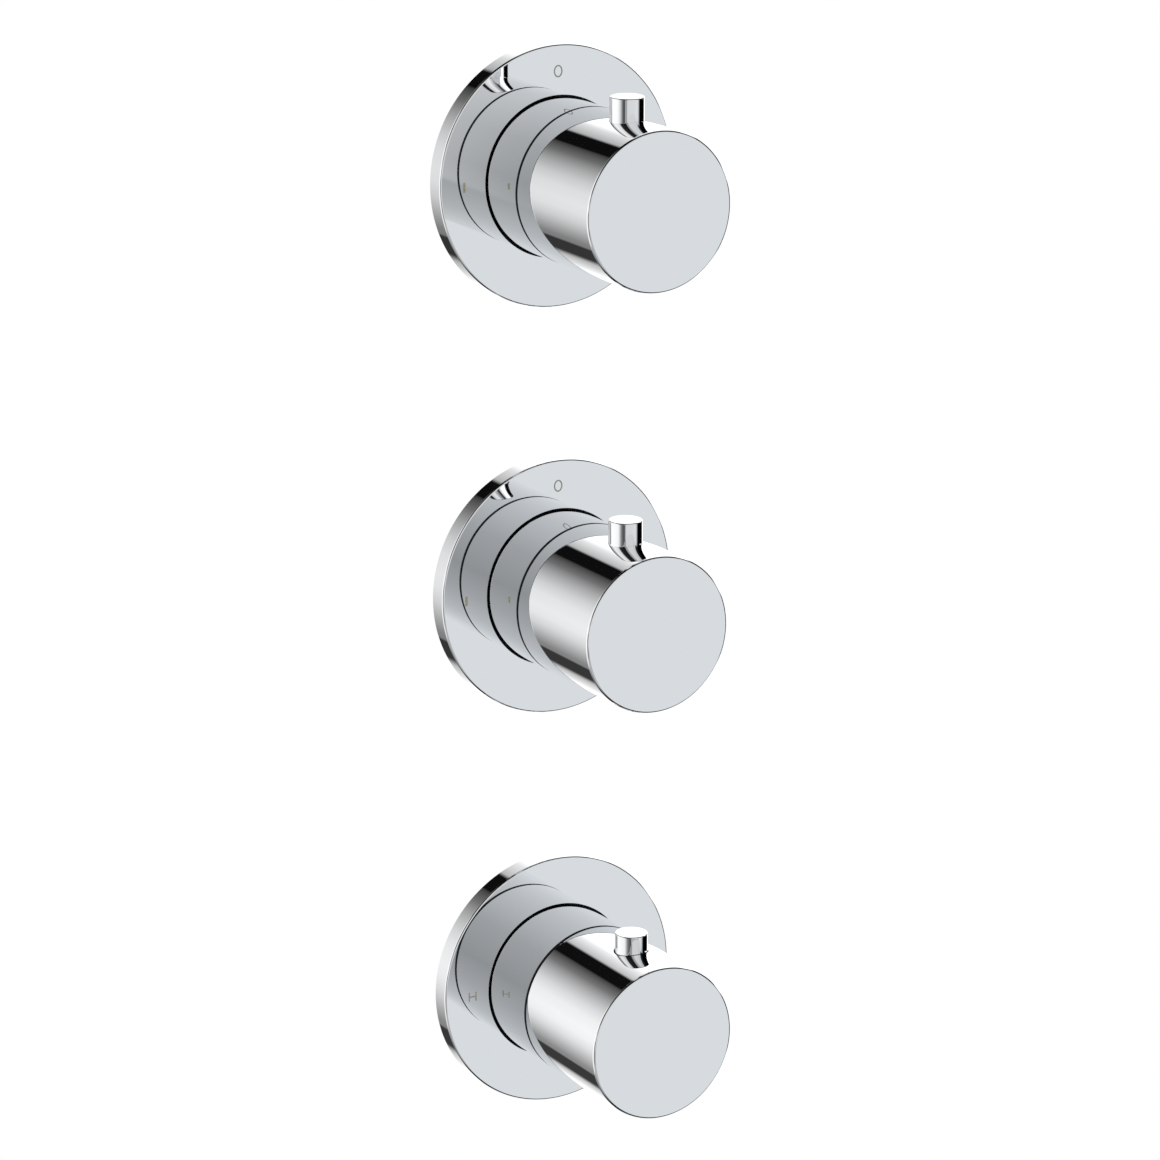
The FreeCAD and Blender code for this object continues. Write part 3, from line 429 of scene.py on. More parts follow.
@dataclass(frozen=True)
class MouldedPlastic(Finish):
    """Natural acetal (POM): milky white, satin, slightly waxy, with flow marks and a spark-eroded texture."""

    name: str = "moulded POM"
    shade: str = "#EEEDE8"
    roughness: float = 0.38
    ior: float | None = 1.48
    patches: Cloud | None = Cloud(8.0)
    shades: Shades = ((0.0, "#E6E4DC"), (1.0, None))
    polish: Cloud | None = Cloud(3.0, 0.32, 0.45)
    grain: Cloud | None = Cloud(0.15)
    depth: float = 0.008
    strength: float = 0.5
    milkiness: float = 0.08
    reach: float = 1.0

    def extras(self) -> dict[str, float]:
        """Lets light a millimetre into it."""
        return {"Subsurface Weight": self.milkiness, "Subsurface Scale": self.reach * MM}


@dataclass(frozen=True)
class LappedCeramic(Finish):
    """Lapped alumina disc: ivory white, hard gloss, speckled by its 0.3 mm grains."""

    name: str = "lapped alumina"
    shade: str = "#F3F0E8"
    roughness: float = 0.12
    ior: float | None = 1.76
    patches: Cloud | None = Cloud(0.3, detail=4.0)
    shades: Shades = ((0.0, "#E4E0D5"), (0.4, None), (1.0, "#F8F6F0"))
    polish: Cloud | None = Cloud(2.0, 0.08, 0.2)


@dataclass(frozen=True)
class DrawnSteel(Finish):
    """Drawn stainless steel: cool grey metal with fine lines from the die, along the wall's depth."""

    name: str = "drawn stainless steel"
    shade: str = "#CDCFD1"
    metallic: float = 1.0
    roughness: float = 0.2
    polish: Cloud | None = Cloud(3.0, 0.14, 0.28)
    grain: Cloud | None = Cloud(0.1)
    depth: float = 0.004
    strength: float = 0.4
    stretch: float = 0.08

    def height(self, tree: Tree, place: Socket) -> Level:
        """Draws the grain out into lines."""
        scale = Vector((1.0, self.stretch, 1.0))
        long = add(tree, "ShaderNodeMapping", {"Vector": place, "Scale": scale}).outputs[0]
        return self.grain.over(tree, long)


@dataclass(frozen=True)
class DrawnCopper(Finish):
    """Drawn copper capsule: salmon metal, browned a little by heat and handling."""

    name: str = "drawn copper"
    shade: str = "#E0A083"
    metallic: float = 1.0
    roughness: float = 0.25
    patches: Cloud | None = Cloud(5.0, detail=3.0)
    shades: Shades = ((0.0, "#B9755A"), (0.6, None), (1.0, "#E8B094"))
    polish: Cloud | None = Cloud(3.0, 0.2, 0.34)


@dataclass(frozen=True)
class EtchedMark(Finish):
    """Laser-etched mark in the chrome: a thin grey-olive line that no longer mirrors."""

    name: str = "etched mark"
    shade: str = "#A2A396"
    roughness: float = 0.6
    ior: float | None = 1.5
    patches: Cloud | None = Cloud(0.6)
    shades: Shades = ((0.0, "#8E8F82"), (1.0, None))


@dataclass(frozen=True)
class PaintedJointShade(Finish):
    """Painted shade in the joints and in the plates' holes: almost black and matt, with no mirror left."""

    # A near-black finish that paints the shade falling into joints and holes.
    name: str = "painted shade in a joint"
    shade: str = "#121213"
    roughness: float = 0.6
    ior: float | None = 1.5
    polish: Cloud | None = Cloud(4.0, 0.5, 0.7)


FINISH_OF_SLOT: dict[Slot, type[Finish]] = {
    Slot.CHROME: MirrorChrome,
    Slot.TURNED: TurnedBrass,
    Slot.CAST: CastBrass,
    Slot.RUBBER: MouldedRubber,
    Slot.FOAM: CellFoam,
    Slot.PLASTIC: MouldedPlastic,
    Slot.CERAMIC: LappedCeramic,
    Slot.STEEL: DrawnSteel,
    Slot.COPPER: DrawnCopper,
}


# ---------------------------------------------------------------- turned shapes
class Axis(Enum):
    """The directions that pieces are turned about."""

    OUT = "out of the wall"
    UP = "up"
    ACROSS = "to the right"


@dataclass(frozen=True)
class Corner:
    """A corner of a turned outline, in mm: radius from the axis, place along it, and edge round."""

    radius: float
    along: float
    round: float = 0.0


@dataclass(frozen=True)
class Run:
    """A stretch of an outline between two points, with the true normal at each end."""

    start: Vector
    end: Vector
    start_normal: Vector
    end_normal: Vector


@dataclass(frozen=True)
class Turned:
    """A solid of revolution with a true normal everywhere, so that a mirror finish stays clean.

    A point lies on its surface if it is within `off` of a run, in mm, no further past the run's ends than
    `past` of its length, and turned as `match` says, which is the cosine between the two normals. A run
    has to be longer than `shortest`, and points that agree to `digits` decimals share their vertices.
    """

    corners: tuple[Corner, ...]
    centre: Vector
    axis: Axis = Axis.OUT
    segments: int = 240
    arc_steps: int = 6
    off: float = 0.012
    past: float = 0.01
    match: float = 0.97
    shortest: float = 1e-7
    digits: int = 5

    @classmethod
    def of(cls, corners: Corners, centre: Vector, axis: Axis = Axis.OUT, segments: int = 240) -> "Turned":
        """Makes one from rows of radius, place along the axis and, where an edge is round, its round."""
        return cls(tuple(Corner(*corner) for corner in corners), centre, axis, segments)

    def arc(self, here: Vector, before: Vector, after: Vector, radius: float, side: float) -> list[Run]:
        """Rounds one corner.

        Args:
            here: The corner.
            before: The direction to the corner before it.
            after: The direction to the corner after it.
            radius: The round's radius.
            side: 1 where the outline runs anticlockwise, or else -1.

        Returns:
            The round as short runs.
        """
        half = before.angle(after) / 2
        cut = radius / math.tan(half)
        hub = here + (before + after).normalized() * (radius / math.sin(half))
        first = here + before * cut - hub
        turn = first.angle_signed(here + after * cut - hub)
        outward = 1.0 if side * (before.x * after.y - before.y * after.x) < 0 else -1.0
        spokes = []
        for step in range(self.arc_steps + 1):
            spoke = first.copy()
            spoke.rotate(Matrix.Rotation(-turn * step / self.arc_steps, 2))
            spokes.append(spoke)
        return [
            Run(hub + start, hub + end, start.normalized() * outward, end.normalized() * outward)
            for start, end in zip(spokes, spokes[1:])
        ]

    def runs(self) -> list[Run]:
        """Rounds the corners.

        Returns:
            The closed outline as runs, outward normals included.
        """
        points = [Vector((corner.radius, corner.along)) for corner in self.corners]
        count = len(points)
        area = sum(points[k - 1].x * points[k].y - points[k].x * points[k - 1].y for k in range(count))
        side = 1.0 if area > 0 else -1.0
        arcs: list[list[Run]] = []
        for k, corner in enumerate(self.corners):
            here = points[k]
            before = (points[k - 1] - here).normalized()
            after = (points[(k + 1) % count] - here).normalized()
            arcs.append(self.arc(here, before, after, corner.round, side) if corner.round > 0 else [])
        outline: list[Run] = []
        for k, arc in enumerate(arcs):
            outline.extend(arc)
            following = arcs[(k + 1) % count]
            start = arc[-1].end if arc else points[k]
            end = following[0].start if following else points[(k + 1) % count]
            if (end - start).length > self.shortest:
                way = (end - start).normalized()
                normal = Vector((way.y, -way.x)) * side
                outline.append(Run(start, end, normal, normal))
        return outline

    def spread(self, across: float, along: float, beside: float) -> Vector:
        """Swaps the axis's own directions for those of space, and back.

        Args:
            across: The first part.
            along: The second part.
            beside: The third part.

        Returns:
            The same direction by its other parts.
        """
        if self.axis is Axis.OUT:
            return Vector((across, -along, beside))
        if self.axis is Axis.ACROSS:
            return Vector((along, across, beside))
        return Vector((across, beside, along))

    def place(self, flat: Vector, angle: float) -> Vector:
        """Returns a point in metres from one of the outline, in mm, and its angle round the axis."""
        return self.centre + self.turn(flat, angle) * MM

    def turn(self, flat: Vector, angle: float) -> Vector:
        """Returns a direction in space from one in the outline's plane."""
        return self.spread(flat.x * math.cos(angle), flat.y, flat.x * math.sin(angle))

    def mesh(self, name: str) -> Mesh:
        """Builds the closed mesh with its true normals.

        Args:
            name: The mesh's name.

        Returns:
            The mesh, faces outwards.
        """
        mesh = bpy.data.meshes.new(name)
        rows: dict[tuple[float, float], list[int]] = {}
        vertices: list[Vector] = []
        faces: list[tuple[int, ...]] = []
        normals: list[Vector] = []
        angles = [2 * math.pi * k / self.segments for k in range(self.segments)]

        def row(point: Vector) -> list[int]:
            """Adds the ring of vertices through a point of the outline, unless it is there.

            Args:
                point: The point, in mm.

            Returns:
                The vertices' numbers.
            """
            key = (round(point.x, self.digits), round(point.y, self.digits))
            if key not in rows:
                spots = angles if key[0] > 0 else angles[:1]
                rows[key] = list(range(len(vertices), len(vertices) + len(spots)))
                vertices.extend(self.place(point, angle) for angle in spots)
            return rows[key]

        for run in self.runs():
            first = row(run.start)
            last = row(run.end)
            if len(first) == 1 and len(last) == 1:
                continue
            for k in range(self.segments):
                after = (k + 1) % self.segments
                spots = [(first, k, run.start_normal), (last, k, run.end_normal)]
                spots += [(last, after, run.end_normal), (first, after, run.start_normal)]
                corners: list[int] = []
                shading: list[Vector] = []
                for ring, place, flat in spots:
                    index = ring[place % len(ring)]
                    if index not in corners:
                        angle = angles[place] if len(ring) > 1 else angles[k] + math.pi / self.segments
                        corners.append(index)
                        shading.append(self.turn(flat, angle))
                a, b, c = (vertices[corners[n]] for n in range(3))
                if (b - a).cross(c - a).dot(shading[0] + shading[1] + shading[2]) < 0:
                    corners.reverse()
                    shading.reverse()
                faces.append(tuple(corners))
                normals.extend(shading)
        mesh.from_pydata(vertices, [], faces)
        mesh.polygons.foreach_set("use_smooth", [True] * len(faces))
        mesh.normals_split_custom_set(normals)
        mesh.update()
        return mesh

    def normal_at(self, point: Vector, flat: Vector, runs: list[Run]) -> Vector | None:
        """Finds the true normal at a point on this surface.

        Args:
            point: A place in metres.
            flat: The flat normal of the face that the point belongs to.
            runs: The outline, from runs().

        Returns:
            The normal, or nothing where the face isn't on this surface.
        """
        across, along, beside = self.spread(*((point - self.centre) / MM))
        spot = Vector((math.hypot(across, beside), along))
        angle = math.atan2(beside, across)
        for run in runs:
            way = run.end - run.start
            share = (spot - run.start).dot(way) / way.length_squared
            if not -self.past <= share <= 1 + self.past:
                continue
            if (run.start + way * share - spot).length > self.off:
                continue
            normal = self.turn(run.start_normal.lerp(run.end_normal, share).normalized(), angle)
            match = normal.dot(flat)
            if abs(match) > self.match:
                return normal if match > 0 else -normal
        return None


def bar(radius: float, start: float, end: float) -> Corners:
    """Returns the corners of a plain rod, from one place along its axis to another."""
    return [(0, start), (radius, start), (radius, end), (0, end)]


@dataclass(frozen=True)
class Measured:
    """A round CAD node as the frame holds it: its middle in metres, and its sizes in mm.

    Front and back are distances in front of the wall, and height is that of the middle.
    """

    centre: Vector
    height: float
    radius: float
    front: float
    back: float


def measure(node: str) -> Measured:
    """Reads a round node's place and sizes from the frame.

    Args:
        node: The node's name.

    Returns:
        What was read.
    """
    low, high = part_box(node)
    height = (low.z + high.z) / 2
    centre = Vector(((low.x + high.x) / 2, 0.0, height))
    return Measured(centre, height / MM, (high.x - low.x) / 2 / MM, -low.y / MM, -high.y / MM)


# ---------------------------------------------------------------- meshes and pieces
@dataclass(frozen=True)
class Spring:
    """A compression spring: the bodies at its two ends, and where those ends are, in metres."""

    parent: str
    child: str
    seat: Vector
    pushed: Vector


def show(name: str, mesh: Mesh) -> bpy.types.Object:
    """Puts a mesh into the scene as a new object."""
    made = bpy.data.objects.new(name, mesh)
    bpy.context.scene.collection.objects.link(made)
    return made


def piece(
    name: str,
    mesh: Mesh,
    finish: Finish,
    body: str | Spring,
    stands_for: Sequence[str] = (),
    mirrored: bool = True,
) -> None:
    """Puts a mesh into the scene as a piece of the object.

    Args:
        name: The piece's name.
        mesh: Its mesh, in the frame's metres.
        finish: Its surface.
        body: The CAD body that it moves with, or the spring that it is.
        stands_for: The CAD nodes that it replaces.
        mirrored: Whether the chrome mirrors it.
    """
    made = show(name, mesh)
    mesh.materials.clear()
    mesh.materials.append(finish.material())
    if isinstance(body, Spring):
        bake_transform(made)
    else:
        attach(made, body)
    if stands_for:
        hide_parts(*stands_for)
    made.visible_glossy = mirrored
    LOG.info("%s: %d faces, moves with %s", name, len(mesh.polygons), body)


def coat(mesh: Mesh, finish: Finish, inside: Callable[[Vector], bool]) -> None:
    """Gives part of a mesh a second finish.

    Args:
        mesh: The mesh, which already has its main finish.
        finish: The second finish.
        inside: Whether a face with this middle gets it.
    """
    mesh.materials.append(finish.material())
    second = len(mesh.materials) - 1
    for face in mesh.polygons:
        if inside(face.center):
            face.material_index = second


def written(name: str, work: bmesh.types.BMesh) -> Mesh:
    """Turns a mesh that is being worked on into a finished one, and frees it.

    Args:
        name: The finished mesh's name.
        work: The mesh that is being worked on.

    Returns:
        The finished mesh.
    """
    mesh = bpy.data.meshes.new(name)
    work.to_mesh(mesh)
    work.free()
    return mesh


def block(work: bmesh.types.BMesh, middle: Vector, size: tuple[float, float, float]) -> None:
    """Adds a block to a mesh that is being worked on.

    Args:
        work: The mesh that gets it.
        middle: The block's middle, in metres.
        size: Its width, depth and height, in mm.
    """
    made = bmesh.ops.create_cube(work, size=1.0)
    scale = Matrix.Diagonal((*(side * MM for side in size), 1.0))
    bmesh.ops.transform(work, matrix=Matrix.Translation(middle) @ scale, verts=made["verts"])


def combine(work: bpy.types.Object, other: Mesh, how: str) -> bpy.types.Object:
    """Adds a mesh to an object, or takes it away, by a modifier.

    Args:
        work: The object.
        other: The mesh.
        how: UNION, DIFFERENCE or INTERSECT.

    Returns:
        The object that holds the other mesh.
    """
    tool = show("tool", other)
    tool.hide_render = True
    step = work.modifiers.new("step", "BOOLEAN")
    step.operation = how
    step.solver = "EXACT"
    step.object = tool
    return tool


def worked_in(work: bpy.types.Object, tools: Sequence[bpy.types.Object] = ()) -> Mesh:
    """Works an object's modifiers into its mesh.

    Args:
        work: The object, which is removed.
        tools: The objects that its modifiers use, which are removed too.

    Returns:
        The new mesh.
    """
    graph = bpy.context.evaluated_depsgraph_get()
    mesh = bpy.data.meshes.new_from_object(work.evaluated_get(graph))
    for spare in (work, *tools):
        bpy.data.objects.remove(spare)
    return mesh


def carved(base: Turned, steps: Iterable[tuple[str, Turned]]) -> Mesh:
    """Adds other turned solids to one, or takes them away.

    Args:
        base: The solid to start from.
        steps: For each step, how it goes and its solid, as for combine().

    Returns:
        The new mesh.
    """
    work = show("carved", base.mesh("carved"))
    return worked_in(work, [combine(work, solid.mesh("tool"), how) for how, solid in steps])


def shade_true(mesh: Mesh, surfaces: Sequence[Turned]) -> None:
    """Gives every face corner the true normal of the surface that it lies on.

    Args:
        mesh: The mesh to shade.
        surfaces: The turned surfaces that it is made of.
    """
    outlines = [(surface, surface.runs()) for surface in surfaces]
    normals: list[Vector] = [Vector((0.0, 0.0, 1.0))] * len(mesh.loops)
    for face in mesh.polygons:
        flat = face.normal
        for surface, runs in outlines:
            found = [surface.normal_at(mesh.vertices[v].co, flat, runs) for v in face.vertices]
            if all(found):
                break
        else:
            found = [flat.copy()] * len(face.vertices)
        for loop, normal in zip(face.loop_indices, found):
            normals[loop] = normal
    mesh.polygons.foreach_set("use_smooth", [True] * len(mesh.polygons))
    mesh.normals_split_custom_set(normals)
    mesh.update()


def softened(name: str, source: Mesh, crease: float, weld: float = 0.0) -> Mesh:
    """Copies a mesh and shades it smooth, but for its real edges.

    Args:
        name: The new mesh's name.
        source: The mesh to copy.
        crease: The angle in degrees from which an edge stays sharp.
        weld: How close loose corners have to be to become one, in metres.

    Returns:
        The new mesh.
    """
    work = bmesh.new()
    work.from_mesh(source)
    if weld:
        bmesh.ops.remove_doubles(work, verts=work.verts, dist=weld)
    for face in work.faces:
        face.smooth = True
    for edge in work.edges:
        edge.smooth = len(edge.link_faces) == 2 and edge.calc_face_angle(0.0) < math.radians(crease)
    mesh = written(name, work)
    if "custom_normal" in mesh.attributes:
        mesh.attributes.remove(mesh.attributes["custom_normal"])
    return mesh


# ---------------------------------------------------------------- the trims
class Control(Enum):
    """The three controls of the row."""

    TOP = "top"
    MIDDLE = "middle"
    THERMO = "thermo"


class Glyph(Enum):
    """The generic marks on the plates."""

    ZERO = "0"
    ONE = "I"
    H = "H"
    C = "C"


@dataclass(frozen=True)
class Lettering:
    """How the marks are drawn, as thin strokes. Sizes in mm."""

    height: float = 2.9
    stroke: float = 0.42
    one_width: float = 0.75
    legs: float = 1.15
    crossbar: Span = (1.88, 0.4)
    zero_radii: Span = (1.45, 1.85)
    c_radii: Span = (1.35, 1.45)
    c_opening: float = 45.0
    thickness: float = 0.03
    bar_lift: float = 0.01
    ring_foot: float = 0.005
    steps: int = 48

    def draw(self, glyph: Glyph, middle: Vector) -> Mesh:
        """Draws a mark.

        Args:
            glyph: The mark.
            middle: Its middle on the plate's face, in metres.

        Returns:
            Its mesh.
        """
        work = bmesh.new()
        if glyph is Glyph.ZERO:
            self.ring(work, middle, self.zero_radii, 0.0)
        elif glyph is Glyph.C:
            self.ring(work, middle, self.c_radii, self.c_opening)
        elif glyph is Glyph.ONE:
            self.bar(work, middle, 0.0, (self.one_width, self.height))
        else:
            for across, size in (
                (-self.legs, (self.stroke, self.height)),
                (self.legs, (self.stroke, self.height)),
                (0.0, self.crossbar),
            ):
                self.bar(work, middle, across, size)
        bmesh.ops.recalc_face_normals(work, faces=work.faces)
        return written(glyph.name, work)

    def bar(self, work: bmesh.types.BMesh, middle: Vector, across: float, size: Span) -> None:
        """Adds a straight stroke of some width and height, to one side of the mark's middle."""
        place = middle + Vector((across, -self.bar_lift, 0.0)) * MM
        block(work, place, (size[0], self.thickness, size[1]))

    def ring(self, work: bmesh.types.BMesh, middle: Vector, radii: Span, opening: float) -> None:
        """Adds an oval stroke, closed all round where it has no opening.

        Args:
            work: The mesh that gets it.
            middle: Its middle, in metres.
            radii: Half its width and half its height.
            opening: Where it sets out and stops, in degrees above and below the right.
        """
        count = self.steps + 1 if opening else self.steps
        rows = []
        for k in range(count):
            angle = math.radians(opening + (360.0 - 2 * opening) * k / self.steps)
            spots = []
            for shrink, front in ((self.stroke, 0), (0.0, 0), (0.0, 1), (self.stroke, 1)):
                across = (radii[0] - shrink) * math.cos(angle)
                up = (radii[1] - shrink) * math.sin(angle)
                depth = self.ring_foot - self.thickness * front
                spots.append(work.verts.new(middle + Vector((across, depth, up)) * MM))
            rows.append(spots)
        for first, last in zip(rows, rows[1:] if opening else rows[1:] + rows[:1]):
            for k in range(4):
                after = (k + 1) % 4
                work.faces.new((first[k], first[after], last[after], last[k]))
        if opening:
            work.faces.new(rows[0])
            work.faces.new(rows[-1])


@dataclass
class Trim:
    """What shows of one control: wall plate, sleeve, knob and its pin or button. Sizes in mm.

    Skin, near and hole_near say how close a face's middle has to be to a surface to count as on it.
    """

    control: Control
    plate_face: float = 1.6
    plate_rim: float = 1.8
    plate_edge: float = 0.6
    plate_foot: float = 0.15
    plate_hole: float = 24.1
    hole_edge: float = 0.12
    collar: float = 3.4
    groove_back: float = 2.2
    groove_front: float = 3.8
    groove_radius: float = 25.3
    sleeve_wall: float = 1.5
    sleeve_foot: float = 0.2
    sleeve_lip: float = 0.06
    joint_edge: float = 0.33
    knob_wall: float = 3.6
    knob_face: float = 4.0
    knob_edge: float = 0.74
    spigot: float = 2.0
    spigot_radius: float = 21.8
    hub_radius: float = 11.0
    hub_bore: float = 8.0
    hub_setback: float = 2.0
    adapter: float = 16.0
    pin_setback: float = 18.8
    pin_hole: float = 5.1
    pin_floor: float = 17.0
    pin_seat_edge: float = 0.1
    pin_edge: float = 0.4
    pin_boss: float = 7.5
    stud: float = 3.0
    stud_end: float = 9.5
    stud_gap: float = 0.05
    stud_edge: float = 0.15
    grub_boss: float = 5.0
    grub_hole: float = 2.6
    grub_setback: float = 8.0
    button_hole: float = 5.25
    button_seat: float = 16.0
    button_floor: float = 9.5
    button_stem: float = 2.0
    button_gap: float = 0.15
    button_bore_end: float = 2.7
    cutter_past: float = 2.0
    overlap: float = 1.0
    skin: float = 0.003
    near: float = 0.01
    hole_near: float = 0.02
    rod_segments: int = 64
    pin_segments: int = 128
    zero_place: Span = (0.2, 31.2)
    one_place: Span = (-31.1, -0.25)
    hot_place: Span = (-29.64, -0.39)
    cold_place: Span = (29.64, -0.39)
    lettering: Lettering = Lettering()

    def __post_init__(self) -> None:
        """Reads the trim's place and main sizes from the frame."""
        self.name = self.control.value
        self.thermo = self.control is Control.THERMO
        plate, sleeve, knob = (measure(f"{self.name}_{kind}") for kind in ("wall_plate", "sleeve", "knob"))
        self.centre = plate.centre
        self.plate_radius = plate.radius
        self.plate_depth = plate.front
        self.sleeve_radius = sleeve.radius
        self.sleeve_front = sleeve.front
        self.sleeve_back = sleeve.back
        self.knob_front = knob.front
        self.spigot_back = knob.back
        self.pin_depth = self.knob_front - self.pin_setback

    def turned(self, corners: Corners) -> Turned:
        """Returns a solid turned about this control's axis."""
        return Turned.of(corners, self.centre)

    def upright(self, corners: Corners, depth: float, segments: int) -> Turned:
        """Returns a solid turned about an upright axis at a depth in front of the wall."""
        foot = self.centre + Vector((0.0, -depth * MM, 0.0))
        return Turned.of(corners, foot, Axis.UP, segments)

    def rod(self, radius: float, low: float, high: float, depth: float) -> Turned:
        """Returns an upright rod at a depth in front of the wall."""
        return self.upright(bar(radius, low, high), depth, self.rod_segments)

    def chrome(self, node: str, mesh: Mesh, body: str) -> None:
        """Shows a chromed mesh in a node's place."""
        piece(f"{node}.chrome", mesh, MirrorChrome(), body, [node])

    def spot(self, point: Vector) -> Span:
        """Returns a point's distance from the control's axis and its depth in front of the wall."""
        local = (point - self.centre) / MM
        return math.hypot(local.x, local.z), -local.y

    def in_plate_hole(self, point: Vector) -> bool:
        """Tells the hole and its groove, which are painted near black as shade, from the rest of the wall
        plate.
        """
        radius, depth = self.spot(point)
        end = self.plate_depth - self.hole_edge - self.near
        return radius < self.groove_radius + self.near and depth < end

    def in_sleeve_end(self, point: Vector) -> bool:
        """Tells the sleeve's front end, which faces the knob and is painted near black as shade, from the
        rest of the sleeve.
        """
        radius, depth = self.spot(point)
        return radius < self.sleeve_radius - self.skin and depth > self.sleeve_front - self.joint_edge

    def in_knob_joint(self, point: Vector) -> bool:
        """Tells the knob's back end and the walls of its button's hole, which are painted near black as
        shade, from the rest of the knob.

        Args:
            point: The middle of a face, in metres.

        Returns:
            Whether that face is one of them.
        """
        radius, depth = self.spot(point)
        if radius > self.sleeve_radius - self.skin:
            return False
        if depth < self.spigot_back + self.spigot + self.joint_edge:
            return True
        across = (point.x - self.centre.x) / MM
        up = (point.z - self.centre.z) / MM
        aside = math.hypot(across, depth - self.pin_depth)
        return up > self.button_seat and aside < self.button_hole + self.hole_near

    def build_plate(self) -> None:
        """Turns the wall plate."""
        name = f"{self.name}_wall_plate"
        radius, depth, hole = self.plate_radius, self.plate_depth, self.plate_hole
        face_back = depth - self.plate_face
        mesh = self.turned([
            (radius, 0, self.plate_foot),
            (radius, depth, self.plate_edge),
            (hole, depth, self.hole_edge),
            (hole, self.groove_front),
            (self.groove_radius, self.groove_front),
            (self.groove_radius, self.groove_back),
            (hole + self.collar, self.groove_back),
            (hole + self.collar, face_back),
            (radius - self.plate_rim, face_back),
            (radius - self.plate_rim, 0),
        ]).mesh(name)
        self.chrome(name, mesh, "root")
        # The hole and its groove get painted shade: a near-black finish in place of the shadow that falls in
        # them.
        coat(mesh, PaintedJointShade(), self.in_plate_hole)

    def build_sleeve(self) -> None:
        """Turns the sleeve."""
        name = f"{self.name}_sleeve"
        bore = self.sleeve_radius - self.sleeve_wall
        mesh = self.turned([
            (bore, self.sleeve_back),
            (self.sleeve_radius, self.sleeve_back, self.sleeve_foot),
            (self.sleeve_radius, self.sleeve_front, self.joint_edge),
            (bore, self.sleeve_front, self.sleeve_lip),
        ]).mesh(name)
        self.chrome(name, mesh, "root")
        # The sleeve's front end gets painted shade: a near-black finish for the shaded gap beneath the knob.
        coat(mesh, PaintedJointShade(), self.in_sleeve_end)

    def build_knob(self) -> None:
        """Turns the knob and bores it for its pin or button and its grub screw."""
        name = f"{self.name}_knob"
        back = self.spigot_back + self.spigot
        hub = back + self.hub_setback
        hub_end = hub + self.adapter
        inside = self.knob_front - self.knob_face
        outer = self.sleeve_radius
        bore = outer - self.knob_wall
        shell = self.turned([
            (0, self.knob_front),
            (0, hub_end),
            (self.hub_bore, hub_end),
            (self.hub_bore, hub),
            (self.hub_radius, hub),
            (self.hub_radius, inside),
            (bore, inside),
            (bore, self.spigot_back),
            (self.spigot_radius, self.spigot_back),
            (self.spigot_radius, back),
            (outer, back, self.joint_edge),
            (outer, self.knob_front, self.knob_edge),
        ])
        top = outer - self.knob_wall / 2
        foot = self.hub_radius - self.overlap
        outside = outer + self.cutter_past
        hole, floor, stem, stem_end = self.pin_hole, self.pin_floor, self.stud + self.stud_gap, self.stud_end
        if self.thermo:
            hole, floor = self.button_hole, self.button_floor
            stem, stem_end = self.button_stem + self.button_gap, self.button_bore_end
        grub = hub + self.grub_setback
        steps = [
            ("UNION", self.rod(self.pin_boss, foot, top, self.pin_depth)),
            ("UNION", self.rod(self.grub_boss, -top, -foot, grub)),
            ("DIFFERENCE", self.rod(self.grub_hole, -outside, 0, grub)),
            ("DIFFERENCE", self.turned(bar(self.hub_bore, hub - self.overlap, hub_end))),
            ("DIFFERENCE", self.rod(hole, floor, outside, self.pin_depth)),
            ("DIFFERENCE", self.rod(stem, stem_end, floor + self.overlap, self.pin_depth)),
        ]
        mesh = carved(shell, steps)
        shade_true(mesh, [shell, *(solid for _, solid in steps)])
        self.chrome(name, mesh, name)
        # The knob's back end and its button's hole get painted shade: a near-black finish for the shaded
        # joint and recess.
        coat(mesh, PaintedJointShade(), self.in_knob_joint)

    def build_pin(self) -> None:
        """Turns the lever pin, or the stop button of the temperature control."""
        name = "thermo_stop_button" if self.thermo else f"{self.name}_lever_pin"
        body = "stop_button" if self.thermo else f"{self.name}_knob"
        seat = self.button_seat if self.thermo else self.pin_floor
        stem = self.button_stem if self.thermo else self.stud
        radius = measure(name).radius
        foot, top = ((corner.z - self.centre.z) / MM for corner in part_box(name))
        mesh = self.upright([
            (0, foot),
            (stem, foot, self.stud_edge),
            (stem, seat),
            (radius, seat, self.pin_seat_edge),
            (radius, top, self.pin_edge),
            (0, top),
        ], self.pin_depth, self.pin_segments).mesh(name)
        self.chrome(name, mesh, body)

    def build_marks(self) -> None:
        """Etches the plate's marks: 0 and I on a flow control, H and C on the temperature control."""
        ochre = EtchedMark(name="etched mark, ochre", shade="#A8A46E")
        marks = [
            ("off_mark", self.zero_place, Glyph.ZERO, EtchedMark()),
            ("open_mark", self.one_place, Glyph.ONE, ochre),
        ]
        if self.thermo:
            marks = [
                ("hot_mark", self.hot_place, Glyph.H, EtchedMark()),
                ("cold_mark", self.cold_place, Glyph.C, EtchedMark()),
            ]
        for name, (across, up), glyph, finish in marks:
            middle = self.centre + Vector((across, -self.plate_depth, up)) * MM
            piece(f"{self.name}_{name}", self.lettering.draw(glyph, middle), finish, "root")

    def build(self) -> None:
        """Builds the whole trim."""
        self.build_plate()
        self.build_sleeve()
        self.build_knob()
        self.build_pin()
        self.build_marks()


# ---------------------------------------------------------------- what the wall hides
@dataclass(frozen=True)
class Boss:
    """A boss that holds a cartridge: its control, its height, its radius and the bore's. In mm."""

    control: Control
    height: float
    radius: float
    bore: float


